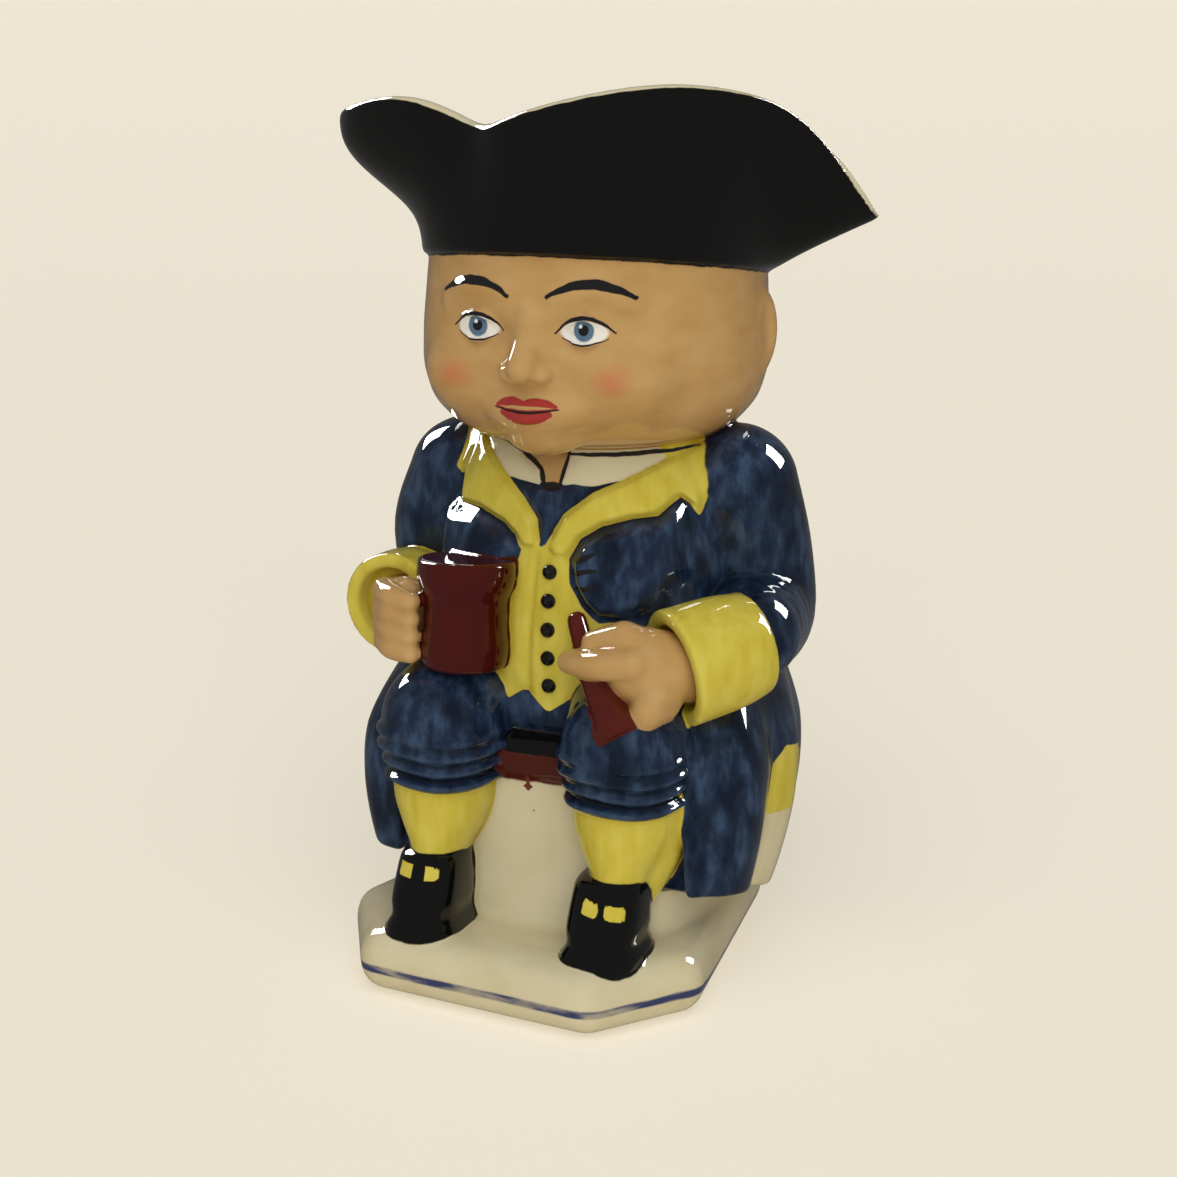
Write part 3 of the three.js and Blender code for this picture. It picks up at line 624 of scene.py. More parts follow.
def make_head():
    brow, eye, nose, mouth, chin = (FACE[k] for k in ("brow", "eye", "nose", "mouth", "chin"))
    front, eye_x = FACE["front"], FACE["eye_x"]
    lumps = [upright(HEAD, 3, 2.0)]
    for s in (-1, 1):
        brow_line = [(6, 3, 0, 2.4), (15, 4, 1.8, 2.6), (25, 9, -2, 2)]
        brow_line = [(s * x, front + y, brow + z, r) for x, y, z, r in brow_line]
        lumps += [limb(brow_line, 3), ball((s * 21, front + 14, nose - 1), (13, 11.5, 10), 5), make_ear(s)]
    lumps += [
        ball((0, front + 11, chin), (11, 7.4, 6), 4),
        ball((0, front + 6, mouth), (13.5, 8, 7.5), 4),
    ]
    head = joined(*lumps)
    sockets = [ball((s * eye_x, front - 2.2, eye), (9.2, 5.6, 5.4), 3) for s in (-1, 1)]
    nose_line = [(0, front + 3, eye + 6, 2.4), (0, front, eye - 2, 3), (0, front - 3, nose + 2.6, 4.1)]
    details = [limb(nose_line, 3)]
    for s in (-1, 1):
        details += [
            ball((s * eye_x, front + 6.6, eye), (6.6, 4.8, 4), 0.8),
            lid(s, 3.7, 1.0),
            lid(s, -3.1, 0.7),
            ball((s * 4.3, front - 0.6, nose + 0.9), (3, 3.2, 2.5), 1.6),
        ]
    details += [
        mouth_bow([(0, -1.5, 1.3), (2.4, -1.4, 1.9), (8.2, 2.6, 0)], 1.3),
        mouth_bow([(0, -1.3, -1.9), (3.6, -0.6, -1.7), (7.6, 2.6, -0.4)], 1.6),
    ]
    nostrils = [ball((s * 2.6, front - 3.4, nose - 1.7), (1.1, 1.5, 1.1)) for s in (-1, 1)]

    def distance(x, y, z):
        total = head(x, y, z)
        for socket in sockets:
            total = smooth_max(total, -socket(x, y, z), 3.0)
        for detail in details:
            total = smooth_min(total, detail(x, y, z), detail.blend)
        for nostril in nostrils:
            total = smooth_max(total, -nostril(x, y, z), 0.6)
        return total

    return Form(distance, head.low - 5, head.high + 2, blend=1.0)


HAIR_FROM = 24.0
HAIR = {"proud": 1.5, "deep": 0.5, "waves": 22}


def make_hair():
    def waves(x, y, z):
        turns = np.arctan2(y, x) * HAIR["waves"] + 0.5 * np.sin(z / 3)
        return HAIR["proud"] + HAIR["deep"] * np.cos(turns)

    mass = upright(HEAD[1:], 2, 0.8, waves)

    def distance(x, y, z):
        return smooth_max(mass(x, y, z), HAIR_FROM - y, 1.5)

    return Form(distance, mass.low, mass.high, blend=0.6)


# Hat: angle 0 is the front, in degrees towards the figure's left
def lobed(angle, lobes):
    total = np.float32(0)
    for middle, wide, amount in lobes:
        off = (angle - middle + 180) % 360 - 180
        total = total + amount * np.exp(-((off / wide) ** 2))
    return total


def hat_lines(angle):
    """Radius and height of the hat's foot and of its rim at an angle in degrees."""
    _, w, front, back, n, _ = HEAD[-1]
    a = np.radians(angle)
    middle = (front + back) / 2
    w, reach = w + HAT["proud"], (back - front) / 2 + HAT["proud"]
    spread = (np.abs(np.sin(a) / w) ** n + np.abs(np.cos(a) / reach) ** n) ** (1 / n)
    foot_r = 1 / spread - middle * np.cos(a)
    foot_z = HAT["foot"] - HAT["foot_tilt"] * (-np.cos(a) * foot_r - HAT["foot_front"])
    return foot_r, foot_z, HAT["reach"] + lobed(angle, BRIM_REACH), HAT["rim"] + lobed(angle, BRIM_RISE)


def slant(line, angle, radius):
    """How steeply a line round the hat rises, as a true length for each unit of height."""
    rise = np.gradient(line, np.radians(angle)) / radius
    return np.sqrt(1 + rise**2)


# The hat's side is worked out once at these steps of angle and height
TABLE = {"step": 0.5, "low": 180, "high": 245}


def hat_table():
    """Radius of the hat's outer side against angle and height, with the steepness of that side."""
    step = TABLE["step"]
    angle = np.arange(-180, 180 + step, step, dtype=np.float32)[:, None]
    z = np.arange(TABLE["low"], TABLE["high"] + 1, step, dtype=np.float32)[None, :]
    foot_r, foot_z, rim_r, rim_z = hat_lines(angle)
    share = np.clip((z - foot_z) / (rim_z - foot_z), 0, 1.15)
    swept = np.clip((share - 0.05) / 0.9, 0, 1)
    swept = swept**3 * (swept * (swept * 6 - 15) + 10)
    off = (angle - SPOUT[0] + 180) % 360 - 180
    spout = np.exp(-((off / SPOUT[1]) ** 2))
    flare = share**1.15 * (1 - spout) + swept * spout
    radius = foot_r + (rim_r - foot_r) * flare
    up = np.gradient(radius, step, axis=1)
    along = np.gradient(radius, math.radians(step), axis=0) / radius
    return radius, np.sqrt(1 + up**2 + along**2)


HAT_RADIUS, HAT_STEEP = hat_table()


def look_up(table, angle, z):
    """The table's value at an angle and a height, read between its entries."""
    low, step = TABLE["low"], TABLE["step"]
    i, k = (angle + 180) / step, (np.clip(z, low, TABLE["high"]) - low) / step
    i0, k0 = np.floor(i).astype(np.int32), np.floor(k).astype(np.int32)
    i0, k0 = np.clip(i0, 0, table.shape[0] - 2), np.clip(k0, 0, table.shape[1] - 2)
    u, v = i - i0, k - k0
    below = table[i0, k0] * (1 - u) + table[i0 + 1, k0] * u
    above = table[i0, k0 + 1] * (1 - u) + table[i0 + 1, k0 + 1] * u
    return below * (1 - v) + above * v


def hat_side(x, y, z):
    angle = np.degrees(np.arctan2(x, -y))
    rho = np.sqrt(x * x + y * y)
    return (rho - look_up(HAT_RADIUS, angle, z)) / look_up(HAT_STEEP, angle, z), angle


RIM_ANGLES = np.arange(-180, 181, 1.0, dtype=np.float32)
RIM_SLANT = slant(hat_lines(RIM_ANGLES)[3], RIM_ANGLES, hat_lines(RIM_ANGLES)[2])


def over_rim(angle, z):
    """How far a place lies over the hat's rim line, square to that line."""
    return (z - hat_lines(angle)[3]) / np.interp(angle, RIM_ANGLES, RIM_SLANT).astype(np.float32)


def make_hat():
    def distance(x, y, z):
        side, angle = hat_side(x, y, z)
        foot_z = hat_lines(angle)[1]
        return smooth_max(side, np.maximum(foot_z - z, over_rim(angle, z)), 2.4)

    return Form(distance, (-74, -60, 184), (82, 70, 242), blend=0.5)


def make_hat_bowl():
    def distance(x, y, z):
        side, angle = hat_side(x, y, z)
        _, foot_z, _, _ = hat_lines(angle)
        return smooth_max(side + WALL, foot_z + 1 - z, 3.0)

    return Form(distance, (-74, -60, 186), (82, 70, 250), blend=2.5)


def make_handle():
    points = [(0, y, z, HANDLE_HALF_THICK) for y, z in HANDLE]
    flat = HANDLE_HALF_THICK / HANDLE_HALF_WIDE
    return limb(points, blend=3, steps=4, squash=(flat, 1, 1))


# The block of space that the clay is shaped in
class Clay:
    """Distances on a grid, in millimetres, below nought inside the clay."""

    def __init__(self, low, high, step):
        self.low, self.step = np.array(low, np.float32), step
        axes = [np.arange(a, b, step, dtype=np.float32) for a, b in zip(low, high)]
        self.axes = axes
        self.field = np.full([len(a) for a in axes], FAR, np.float32)

    def window(self, form):
        cuts = []
        for axis, low, high in zip(self.axes, form.low - FORM_MARGIN, form.high + FORM_MARGIN):
            cuts.append(slice(*np.searchsorted(axis, (low, high))))
        x, y, z = (axis[cut] for axis, cut in zip(self.axes, cuts))
        return tuple(cuts), form(x[:, None, None], y[None, :, None], z[None, None, :])

    def add(self, form):
        cuts, here = self.window(form)
        self.field[cuts] = smooth_min(self.field[cuts], here, form.blend)

    def carve(self, form):
        cuts, here = self.window(form)
        self.field[cuts] = smooth_max(self.field[cuts], -here, form.blend)

    def read(self, field, points):
        """A field's value at points, read between the grid's places."""
        at = (points - self.low) / self.step
        cell = np.clip(np.floor(at).astype(np.int32), 0, np.array(field.shape) - 2)
        u, v, w = (at - cell).T
        i, j, k = cell.T
        total = 0
        for a, wa in ((0, 1 - u), (1, u)):
            for b, wb in ((0, 1 - v), (1, v)):
                for c, wc in ((0, 1 - w), (1, w)):
                    total = total + field[i + a, j + b, k + c] * wa * wb * wc
        return total

    def slope(self, points):
        """The outward direction at points."""
        parts = []
        for axis in range(3):
            off = np.zeros(3, np.float32)
            off[axis] = SLOPE_REACH
            parts.append(self.read(self.field, points + off) - self.read(self.field, points - off))
        out = np.stack(parts, axis=1)
        return out / np.maximum(np.linalg.norm(out, axis=1, keepdims=True), 1e-6)

    def softened(self, reach):
        """The field averaged over a block of this reach, for hollows and ridges."""
        field = np.clip(self.field, -reach, reach)
        span = max(1, int(round(reach / self.step)))
        for axis in range(3):
            total = np.zeros_like(field)
            for k in range(-span, span + 1):
                total += np.roll(field, k, axis=axis)
            field = total / (2 * span + 1)
        return field


# The forms with their paint, in the order they are laid on. HELD is added once the inside is hollow.
FORMS = [
    ("cream", make_base()),
    ("cream", upright(SEAT, 2, 2.0)),
    ("brown", upright(CUSHION, 3, 1.5)),
    ("blue", make_coat()),
    ("blue", make_body()),
    ("dress", None),
    ("yellow", make_coat_collar()),
    ("yellow", make_stocking(-1)),
    ("yellow", make_stocking(1)),
    ("blue", make_breeches(-1)),
    ("blue", make_breeches(1)),
    ("black", make_shoe(-1)),
    ("black", make_shoe(1)),
    ("blue", limb(LEFT_SLEEVE, 2.0)),
    ("blue", limb(RIGHT_SLEEVE, 2.0)),
    ("brown", make_handle()),
    ("skin", make_head()),
    ("hair", make_hair()),
    ("black", make_hat()),
    ("yellow", make_cuff(LEFT_CUFF)),
    ("yellow", make_cuff(RIGHT_CUFF)),
]
HELD = [("mug", make_mug()), ("pipe", make_pipe()), ("skin", make_pipe_hand()), ("skin", make_mug_hand())]
PAINTS = ("cream", "skin", "blue", "yellow", "black", "brown", "hair", "mug", "pipe")
HOLLOWS = [
    upright(CAVITY, 3, 2.5),
    upright(COAT_CAVITY, 3, 2.5, narrowing=COAT_FOLDS["narrowing"]),
    make_hat_bowl(),
]
RIM_BARE = 2.7
RIM_LINE = 1.0


def shape_clay():
    low = [corner / MM - off - GRID_SPARE for corner, off in zip(cad_low[:2], SHIFT)]
    high = [corner / MM - off + GRID_SPARE for corner, off in zip(cad_high[:2], SHIFT)]
    low, high = (*low, -GRID_SPARE), (*high, GRID_TOP)
    clay = Clay(low, high, STEP)
    for _, form in FORMS:
        if form is not None:
            clay.add(form)
    for hollow in HOLLOWS:
        clay.carve(hollow)
    for _, form in HELD:
        clay.add(form)
    clay.carve(make_foot_recess())
    return clay


def surface_of(clay):
    """The clay's skin as points in millimetres and four-sided faces."""
    grid = openvdb.FloatGrid(background=3.0)
    grid.copyFromArray(np.clip(clay.field, -3, 3))
    points, quads = grid.convertToQuads(isovalue=0.0)
    return points * clay.step + clay.low, quads


def mesh_from(points, faces, name):
    mesh = bpy.data.meshes.new(name)
    mesh.vertices.add(len(points))
    mesh.vertices.foreach_set("co", points.astype(np.float32).ravel())
    mesh.loops.add(faces.size)
    mesh.loops.foreach_set("vertex_index", faces.astype(np.int32).ravel())
    mesh.polygons.add(len(faces))
    mesh.polygons.foreach_set("loop_start", np.arange(0, faces.size, faces.shape[1], dtype=np.int32))
    mesh.update(calc_edges=True)
    return mesh


def thinned(mesh, triangles, name):
    """The mesh with fewer faces where it is flattest."""
    obj = bpy.data.objects.new(name, mesh)
    bpy.context.collection.objects.link(obj)
    modifier = obj.modifiers.new("fewer faces", "DECIMATE")
    modifier.ratio = min(1.0, triangles / (2 * len(mesh.polygons)))
    modifier.use_collapse_triangulate = True
    graph = bpy.context.evaluated_depsgraph_get()
    made = bpy.data.meshes.new_from_object(obj.evaluated_get(graph))
    bpy.data.objects.remove(obj)
    return made


# Painted places beside the dress, as outlines in x and z or in y and z
BUCKLES = [
    [(20.6, 30.9), (25.4, 30.1), (25.6, 34.4), (20.9, 35.1)],
    [(27.0, 30.1), (32.6, 29.7), (32.4, 33.6), (27.0, 34.1)],
    [(-33.4, 32.8), (-28.4, 32.4), (-28.4, 36.2), (-33.2, 36.6)],
    [(-25.9, 32.4), (-21.2, 32.6), (-21.4, 36.2), (-25.8, 36.3)],
]
SHOE_FRONT = -46
TURNBACK = [(-15, 61), (-9, 65), (4, 62), (18, 55), (21, 47), (8, 44.5), (-15, 46.5)]
BARE_CORNER = [(-15.5, 18), (-15, 47), (20, 47), (24, 18)]
COAT_SIDE = 42
STRIP_LINE = 66.2


def dress_areas(x, y, z):
    """The painted pieces of the dress on the chest, each with its area's distance."""
    front = np.where((y < FRONT_OF_BODY) & (z > DRESS_FROM), -FAR, FAR).astype(np.float32)
    for paint, points in DRESS:
        yield paint, np.maximum(front, outline(points)(x, z))
    beside = np.maximum(COAT_SIDE - np.abs(x), 0) * 4 - 0.01
    yield "cream", np.maximum(np.where(beside > 0, FAR, -FAR), outline(BARE_CORNER)(y, z))
    yield "yellow", np.maximum(np.where(beside > 0, FAR, -FAR), outline(TURNBACK)(y, z))


def late_areas(x, y, z, reached):
    """Places painted over the finished forms: the cushion's dark band, buckles and the bare inside."""
    cushion = upright(CUSHION)(x, y, z)
    open_lap = np.maximum(np.abs(x) - 42, y + 38)
    # Black along the top strip of the cushion, only in the open lap between the knees, under the body.
    yield "black", np.maximum(np.maximum(cushion - reached - 0.3, STRIP_LINE - z), open_lap)
    toe = np.where((y < SHOE_FRONT) & (z < 40), -FAR, FAR).astype(np.float32)
    for points in BUCKLES:
        yield "yellow", np.maximum(toe, outline(points)(x, z))
    for hollow in HOLLOWS:
        yield "cream", hollow(x, y, z) - RIM_BARE
    angle = np.degrees(np.arctan2(x, -y))
    yield "cream", np.where(z > HAT["foot"], -RIM_LINE - over_rim(angle, z), FAR)
    yield "cream", z - FOOT["rise"] - 0.2


def paint_fields(points):
    """For each paint, how far each point lies outside its area, below nought within it."""
    x, y, z = points.T
    fields = {name: np.full(len(points), FAR, np.float32) for name in PAINTS}
    fields["cream"][:] = -FAR
    reached = np.full(len(points), FAR, np.float32)

    def lay(name, edge):
        for other in PAINTS:
            fields[other] = np.maximum(fields[other], -edge)
        fields[name] = np.minimum(fields[name], edge)

    for name, form in FORMS:
        if name == "dress":
            for paint, edge in dress_areas(x, y, z):
                lay(paint, edge)
            continue
        here = form(x, y, z)
        lay(name, (here - reached) * 0.5)
        reached = np.minimum(reached, here)
    for paint, edge in late_areas(x, y, z, reached):
        lay(paint, edge)
    for name, form in HELD:
        here = form(x, y, z)
        lay(name, (here - reached) * 0.5)
        reached = np.minimum(reached, here)
    return fields


# Brush strokes: paint, from x and z, to x and z, bow to the left of the way, half width
def face_strokes():
    brow, eye, mouth = FACE["brow"], FACE["eye"], FACE["mouth"]
    strokes = [("lips", (-8.6, mouth + 0.6), (8.6, mouth + 0.6), -0.8, 0.5)]
    strokes += [
        ("lips", (-8, mouth + 1.2), (0.6, mouth + 2), 0.7, 1.1),
        ("lips", (8, mouth + 1.2), (-0.6, mouth + 2), -0.7, 1.1),
        ("lips", (-6.4, mouth - 0.9), (6.4, mouth - 0.9), -1.2, 1.7),
        ("line", (-8.8, mouth + 0.5), (8.8, mouth + 0.5), -0.9, 0.34),
    ]
    for s in (-1, 1):
        middle = s * FACE["eye_x"]
        strokes += [
            ("line", (middle - s * 9, brow + 0.2), (middle + s * 12, brow + 0.2), s * 3.4, 1.15),
            ("line", (middle - s * 7.2, eye - 0.2), (middle + s * 7.8, eye + 0.1), s * 3.9, 0.55),
            ("line", (middle - s * 5.6, eye - 1.4), (middle + s * 6.2, eye - 1.2), -s * 1.8, 0.26),
        ]
    return strokes


STROKES = face_strokes() + [
    ("line", (-29, 151), (-10.6, 144.9), 0.4, 0.62),
    ("line", (-10.8, 145), (-3.6, 140.6), 0.5, 0.62),
    ("line", (-4, 141.4), (-2.4, 136.6), 0.2, 0.66),
    ("line", (3.6, 145.6), (1.9, 136.6), 0.1, 0.7),
    ("line", (3.2, 145.3), (33, 146.4), -0.2, 0.62),
    ("line", (-3, 137.2), (2.6, 137.2), -0.3, 1.2),
    ("line", (8.4, 118.4), (15, 121.6), -0.3, 0.8),
    ("line", (8.4, 115.2), (16, 117), 0.3, 0.7),
    ("line", (9.4, 111.6), (15.4, 112.4), 0.2, 0.7),
    ("drip", (-2.2, 60), (-2.3, 57.4), 0, 0.6),
    ("drip", (-2.3, 57.2), (-2.3, 56.2), 0, 1.4),
]
# Round spots: paint, place from the eye, whether mirrored, reach, strength, softness
SPOTS = [
    ("white", (0.2, 0.1), True, (6.4, 3.2), 1, 0.12),
    ("iris", (0.2, 0.5), True, (2.9, 2.9), 1, 0.12),
    ("line", (0.2, 0.6), True, (1.5, 1.5), 1, 0.16),
    # The white dot on each eye, on the same side of both, is a painted highlight standing in for the eye's
    # reflection.
    ("painted_catchlight", (-0.7, 1.6), False, (0.6, 0.6), 1, 0.3),
    ("rosy", (7.5, -12), True, (6.4, 5), 0.5, 0.9),
]


# Small tools for shader trees
def calculate(tree, kind, *values, clamp=False):
    """One step of arithmetic on numbers or sockets."""
    node = tree.nodes.new("ShaderNodeMath")
    node.operation, node.use_clamp = kind, clamp
    for socket, value in zip(node.inputs, values):
        join_to(tree, value, socket)
    return node.outputs[0]


def join_to(tree, value, socket):
    if isinstance(value, bpy.types.NodeSocket):
        tree.links.new(value, socket)
    else:
        socket.default_value = value


def vector_step(tree, kind, a, b=None, out=0):
    node = tree.nodes.new("ShaderNodeVectorMath")
    node.operation = kind
    join_to(tree, a, node.inputs[0])
    if b is not None:
        join_to(tree, b, node.inputs[1])
    return node.outputs[out]


def ramp(tree, value, low, high, to_low=0.0, to_high=1.0):
    node = tree.nodes.new("ShaderNodeMapRange")
    node.interpolation_type = "SMOOTHSTEP"
    ends = {"From Min": low, "From Max": high, "To Min": to_low, "To Max": to_high}
    for name, end in ends.items():
        node.inputs[name].default_value = end
    tree.links.new(value, node.inputs["Value"])
    return node.outputs["Result"]


def blended(tree, share, a, b):
    """Colour a where share is nought, colour b where it is one."""
    node = tree.nodes.new("ShaderNodeMix")
    node.data_type = "RGBA"
    join_to(tree, share, node.inputs["Factor"])
    for value, name in ((a, "A"), (b, "B")):
        socket = next(i for i in node.inputs if i.name == name and i.type == "RGBA")
        join_to(tree, (*value, 1) if isinstance(value, tuple) else value, socket)
    return next(o for o in node.outputs if o.type == "RGBA")


def noise(tree, place, stretch, detail=2.0, turn=(0, 0, 0), rough=0.5):
    """Noise in millimetres: stretch widens its grain on each axis."""
    mapping = tree.nodes.new("ShaderNodeMapping")
    mapping.inputs["Rotation"].default_value = [math.radians(a) for a in turn]
    mapping.inputs["Scale"].default_value = [1 / v for v in stretch]
    tree.links.new(place, mapping.inputs["Vector"])
    node = tree.nodes.new("ShaderNodeTexNoise")
    node.inputs["Scale"].default_value = 1.0
    node.inputs["Detail"].default_value = detail
    node.inputs["Roughness"].default_value = rough
    tree.links.new(mapping.outputs[0], node.inputs["Vector"])
    return node.outputs["Fac"]


def attribute(tree, name):
    node = tree.nodes.new("ShaderNodeAttribute")
    node.attribute_name = name
    return node.outputs["Fac"]


def group_with(name, inputs):
    tree = bpy.data.node_groups.new(name, "ShaderNodeTree")
    for socket, kind in inputs:
        tree.interface.new_socket(socket, in_out="INPUT", socket_type="NodeSocket" + kind)
    tree.interface.new_socket("Mask", in_out="OUTPUT", socket_type="NodeSocketFloat")
    given = tree.nodes.new("NodeGroupInput").outputs
    return tree, given, tree.nodes.new("NodeGroupOutput").inputs["Mask"]


def stroke_group():
    """A tapering brush stroke that bows between two places, as a mask."""
    vectors = [(name, "Vector") for name in ("Place", "Start", "Along", "Across")]
    floats = [(name, "Float") for name in ("Length", "Bow", "Width")]
    tree, given, result = group_with("brush stroke", vectors + floats)
    way = vector_step(tree, "SUBTRACT", given["Place"], given["Start"])
    share = vector_step(tree, "DOT_PRODUCT", way, given["Along"], "Value")
    off = vector_step(tree, "DOT_PRODUCT", way, given["Across"], "Value")
    held = calculate(tree, "ADD", share, 0.0, clamp=True)
    hump = calculate(tree, "MULTIPLY", calculate(tree, "SUBTRACT", 1.0, held), held)
    hump = calculate(tree, "MULTIPLY", hump, 4.0)
    off = calculate(tree, "SUBTRACT", off, calculate(tree, "MULTIPLY", hump, given["Bow"]))
    past = calculate(tree, "MULTIPLY", calculate(tree, "SUBTRACT", share, held), given["Length"])
    combined = tree.nodes.new("ShaderNodeCombineXYZ")
    tree.links.new(off, combined.inputs[0])
    tree.links.new(past, combined.inputs[1])
    gap = vector_step(tree, "LENGTH", combined.outputs[0], out="Value")
    width = calculate(tree, "MULTIPLY", calculate(tree, "MULTIPLY_ADD", hump, 0.5, 0.5), given["Width"])
    edge = calculate(tree, "SUBTRACT", width, gap)
    tree.links.new(calculate(tree, "MULTIPLY_ADD", edge, 5.0, 0.5, clamp=True), result)
    return tree


def spot_group():
    """An oval spot with an edge of the softness given, as a mask."""
    vectors = [(name, "Vector") for name in ("Place", "Middle", "Reach")]
    tree, given, result = group_with("spot", vectors + [("Softness", "Float")])
    way = vector_step(tree, "SUBTRACT", given["Place"], given["Middle"])
    way = vector_step(tree, "DIVIDE", way, given["Reach"])
    gap = calculate(tree, "SUBTRACT", 1.0, vector_step(tree, "LENGTH", way, out="Value"))
    tree.links.new(calculate(tree, "DIVIDE", gap, given["Softness"], clamp=True), result)
    return tree


def used_group(tree, group, values):
    node = tree.nodes.new("ShaderNodeGroup")
    node.node_tree = group
    for name, value in values.items():
        join_to(tree, value, node.inputs[name])
    return node.outputs["Mask"]


def stroke_values(place, start, end, bow, width):
    (x0, z0), (x1, z1) = start, end
    dx, dz = x1 - x0, z1 - z0
    length = math.hypot(dx, dz)
    return {
        "Place": place,
        "Start": (x0, z0, 0),
        "Along": (dx / length**2, dz / length**2, 0),
        "Across": (-dz / length, dx / length, 0),
        "Length": length,
        "Bow": bow,
        "Width": width,
    }


def stroke_masks(tree, place, front):
    """A mask for each stroke colour, on the front of the figure."""
    group, masks = stroke_group(), {}
    for paint, start, end, bow, width in STROKES:
        mask = used_group(tree, group, stroke_values(place, start, end, bow, width))
        masks[paint] = calculate(tree, "MAXIMUM", masks[paint], mask) if paint in masks else mask
    return {paint: calculate(tree, "MULTIPLY", mask, front) for paint, mask in masks.items()}


# Colours of the glazes
COLOURS = {
    "cream": (0.60, 0.53, 0.34),
    "skin": (0.48, 0.285, 0.105),
    "blue": (0.010, 0.020, 0.046),
    "yellow": (0.56, 0.46, 0.055),
    "black": (0.003, 0.003, 0.003),
    "brown": (0.065, 0.010, 0.005),
    "hair": (0.035, 0.014, 0.007),
    "mug": (0.055, 0.005, 0.003),
    "pipe": (0.080, 0.010, 0.006),
}
PALE = {
    "cream": (0.70, 0.64, 0.47),
    "skin": (0.62, 0.42, 0.20),
    "blue": (0.050, 0.088, 0.160),
    "yellow": (0.72, 0.63, 0.14),
}
DEEP = {
    "cream": (0.50, 0.42, 0.22),
    "skin": (0.30, 0.13, 0.035),
    "blue": (0.002, 0.005, 0.013),
    "yellow": (0.42, 0.29, 0.015),
}
STROKE_COLOURS = {
    "line": (0.012, 0.011, 0.012),
    "lips": (0.34, 0.035, 0.03),
    "drip": (0.13, 0.03, 0.015),
    "white": (0.80, 0.77, 0.70),
    "iris": (0.10, 0.17, 0.26),
    # The eye's white dot is a painted highlight.
    "painted_catchlight": (0.85, 0.85, 0.85),
    "rosy": (0.55, 0.10, 0.06),
}
MOTTLE = (0.02, 0.018, 0.02)
LINE_BLUE = (0.035, 0.045, 0.12)
# The brush's grain in millimetres, its detail, turn and roughness
STREAKS = {
    "blue": ((4.2, 4.2, 10), 3, (0, 24, 0), 0.55),
    "skin": ((11, 11, 6), 2, (0, 20, 0)),
    "yellow": ((4, 4, 12), 2),
    "cream": ((14, 14, 10), 2),
}
# How far the brush leaves each glaze pale where it is thin, and deep where it pools
BRUSHED = {"blue": 0.62, "skin": 0.22, "yellow": 0.30, "cream": 0.22}
POOLED = {"blue": 0.7, "skin": 0.16, "yellow": 0.30, "cream": 0.30}
BASE_LINE = {"z": 7.8, "half": 1.1, "drop": 2.4, "from": -58, "to": -24}


def shaded_paint(tree, name, place, broad, relief):
    """A glaze's own colour, paler where it is thin on ridges and deeper where it pools."""
    if name not in PALE:
        return COLOURS[name]
    streak = noise(tree, place, *STREAKS[name])
    thin = calculate(tree, "MULTIPLY", ramp(tree, streak, 0.42, 0.70), BRUSHED[name])
    colour = blended(tree, thin, COLOURS[name], PALE[name])
    colour = blended(tree, ramp(tree, relief, 0.25, 1.1, 0.0, 0.45), colour, PALE[name])
    laid = ramp(tree, streak, 0.45, 0.28, 0.0, POOLED[name])
    pool = calculate(tree, "MAXIMUM", ramp(tree, relief, -0.10, -0.9), laid)
    colour = blended(tree, pool, colour, DEEP[name])
    if name != "blue":
        return colour
    return blended(tree, ramp(tree, broad, 0.50, 0.34, 0.0, 0.75), colour, DEEP[name])


def glossy(shader):
    """The clear glaze over the colour gives all the shine."""
    shader.inputs["Roughness"].default_value = 0.28
    shader.inputs["Specular IOR Level"].default_value = 0.0
    shader.inputs["Coat Weight"].default_value = 1.0
    shader.inputs["Coat Roughness"].default_value = 0.02


def glaze_material(name):
    """A new material with its tree, its shader and its places in the part's metres."""
    material = bpy.data.materials.new(name)
    material.use_nodes = True
    tree = material.node_tree
    metres = tree.nodes.new("ShaderNodeTexCoord").outputs["Object"]
    return material, tree, tree.nodes["Principled BSDF"], metres


def laid_paints(tree, place, y, z):
    """The cream body with its line and specks, and each paint over it with a hand-laid edge."""
    relief = attribute(tree, "relief")
    broad = noise(tree, place, (13, 13, 17), 1)
    wobble = calculate(tree, "MULTIPLY_ADD", noise(tree, place, (5, 5, 5)), 0.6, -0.45)
    colour = shaded_paint(tree, "cream", place, broad, relief)
    colour = blended(tree, base_line(tree, place, y, z), colour, LINE_BLUE)
    colour = blended(tree, specks(tree, place), colour, DEEP["skin"])
    for name in PAINTS[1:]:
        paint = shaded_paint(tree, name, place, broad, relief)
        edge = calculate(tree, "ADD", attribute(tree, name), wobble)
        colour = blended(tree, ramp(tree, edge, 0.14, -0.14), colour, paint)
    return colour


def with_spots(tree, colour, flat, front):
    group = spot_group()
    for paint, (across, up), mirrored, reach, strength, soft in SPOTS:
        for s in (-1, 1):
            x = s * FACE["eye_x"] + (s * across if mirrored else across)
            values = {"Place": flat, "Middle": (x, FACE["eye"] + up, 0)}
            values.update({"Reach": (*reach, 1), "Softness": soft})
            mask = used_group(tree, group, values)
            mask = calculate(tree, "MULTIPLY", mask, calculate(tree, "MULTIPLY", front, strength))
            colour = blended(tree, mask, colour, STROKE_COLOURS[paint])
    return colour


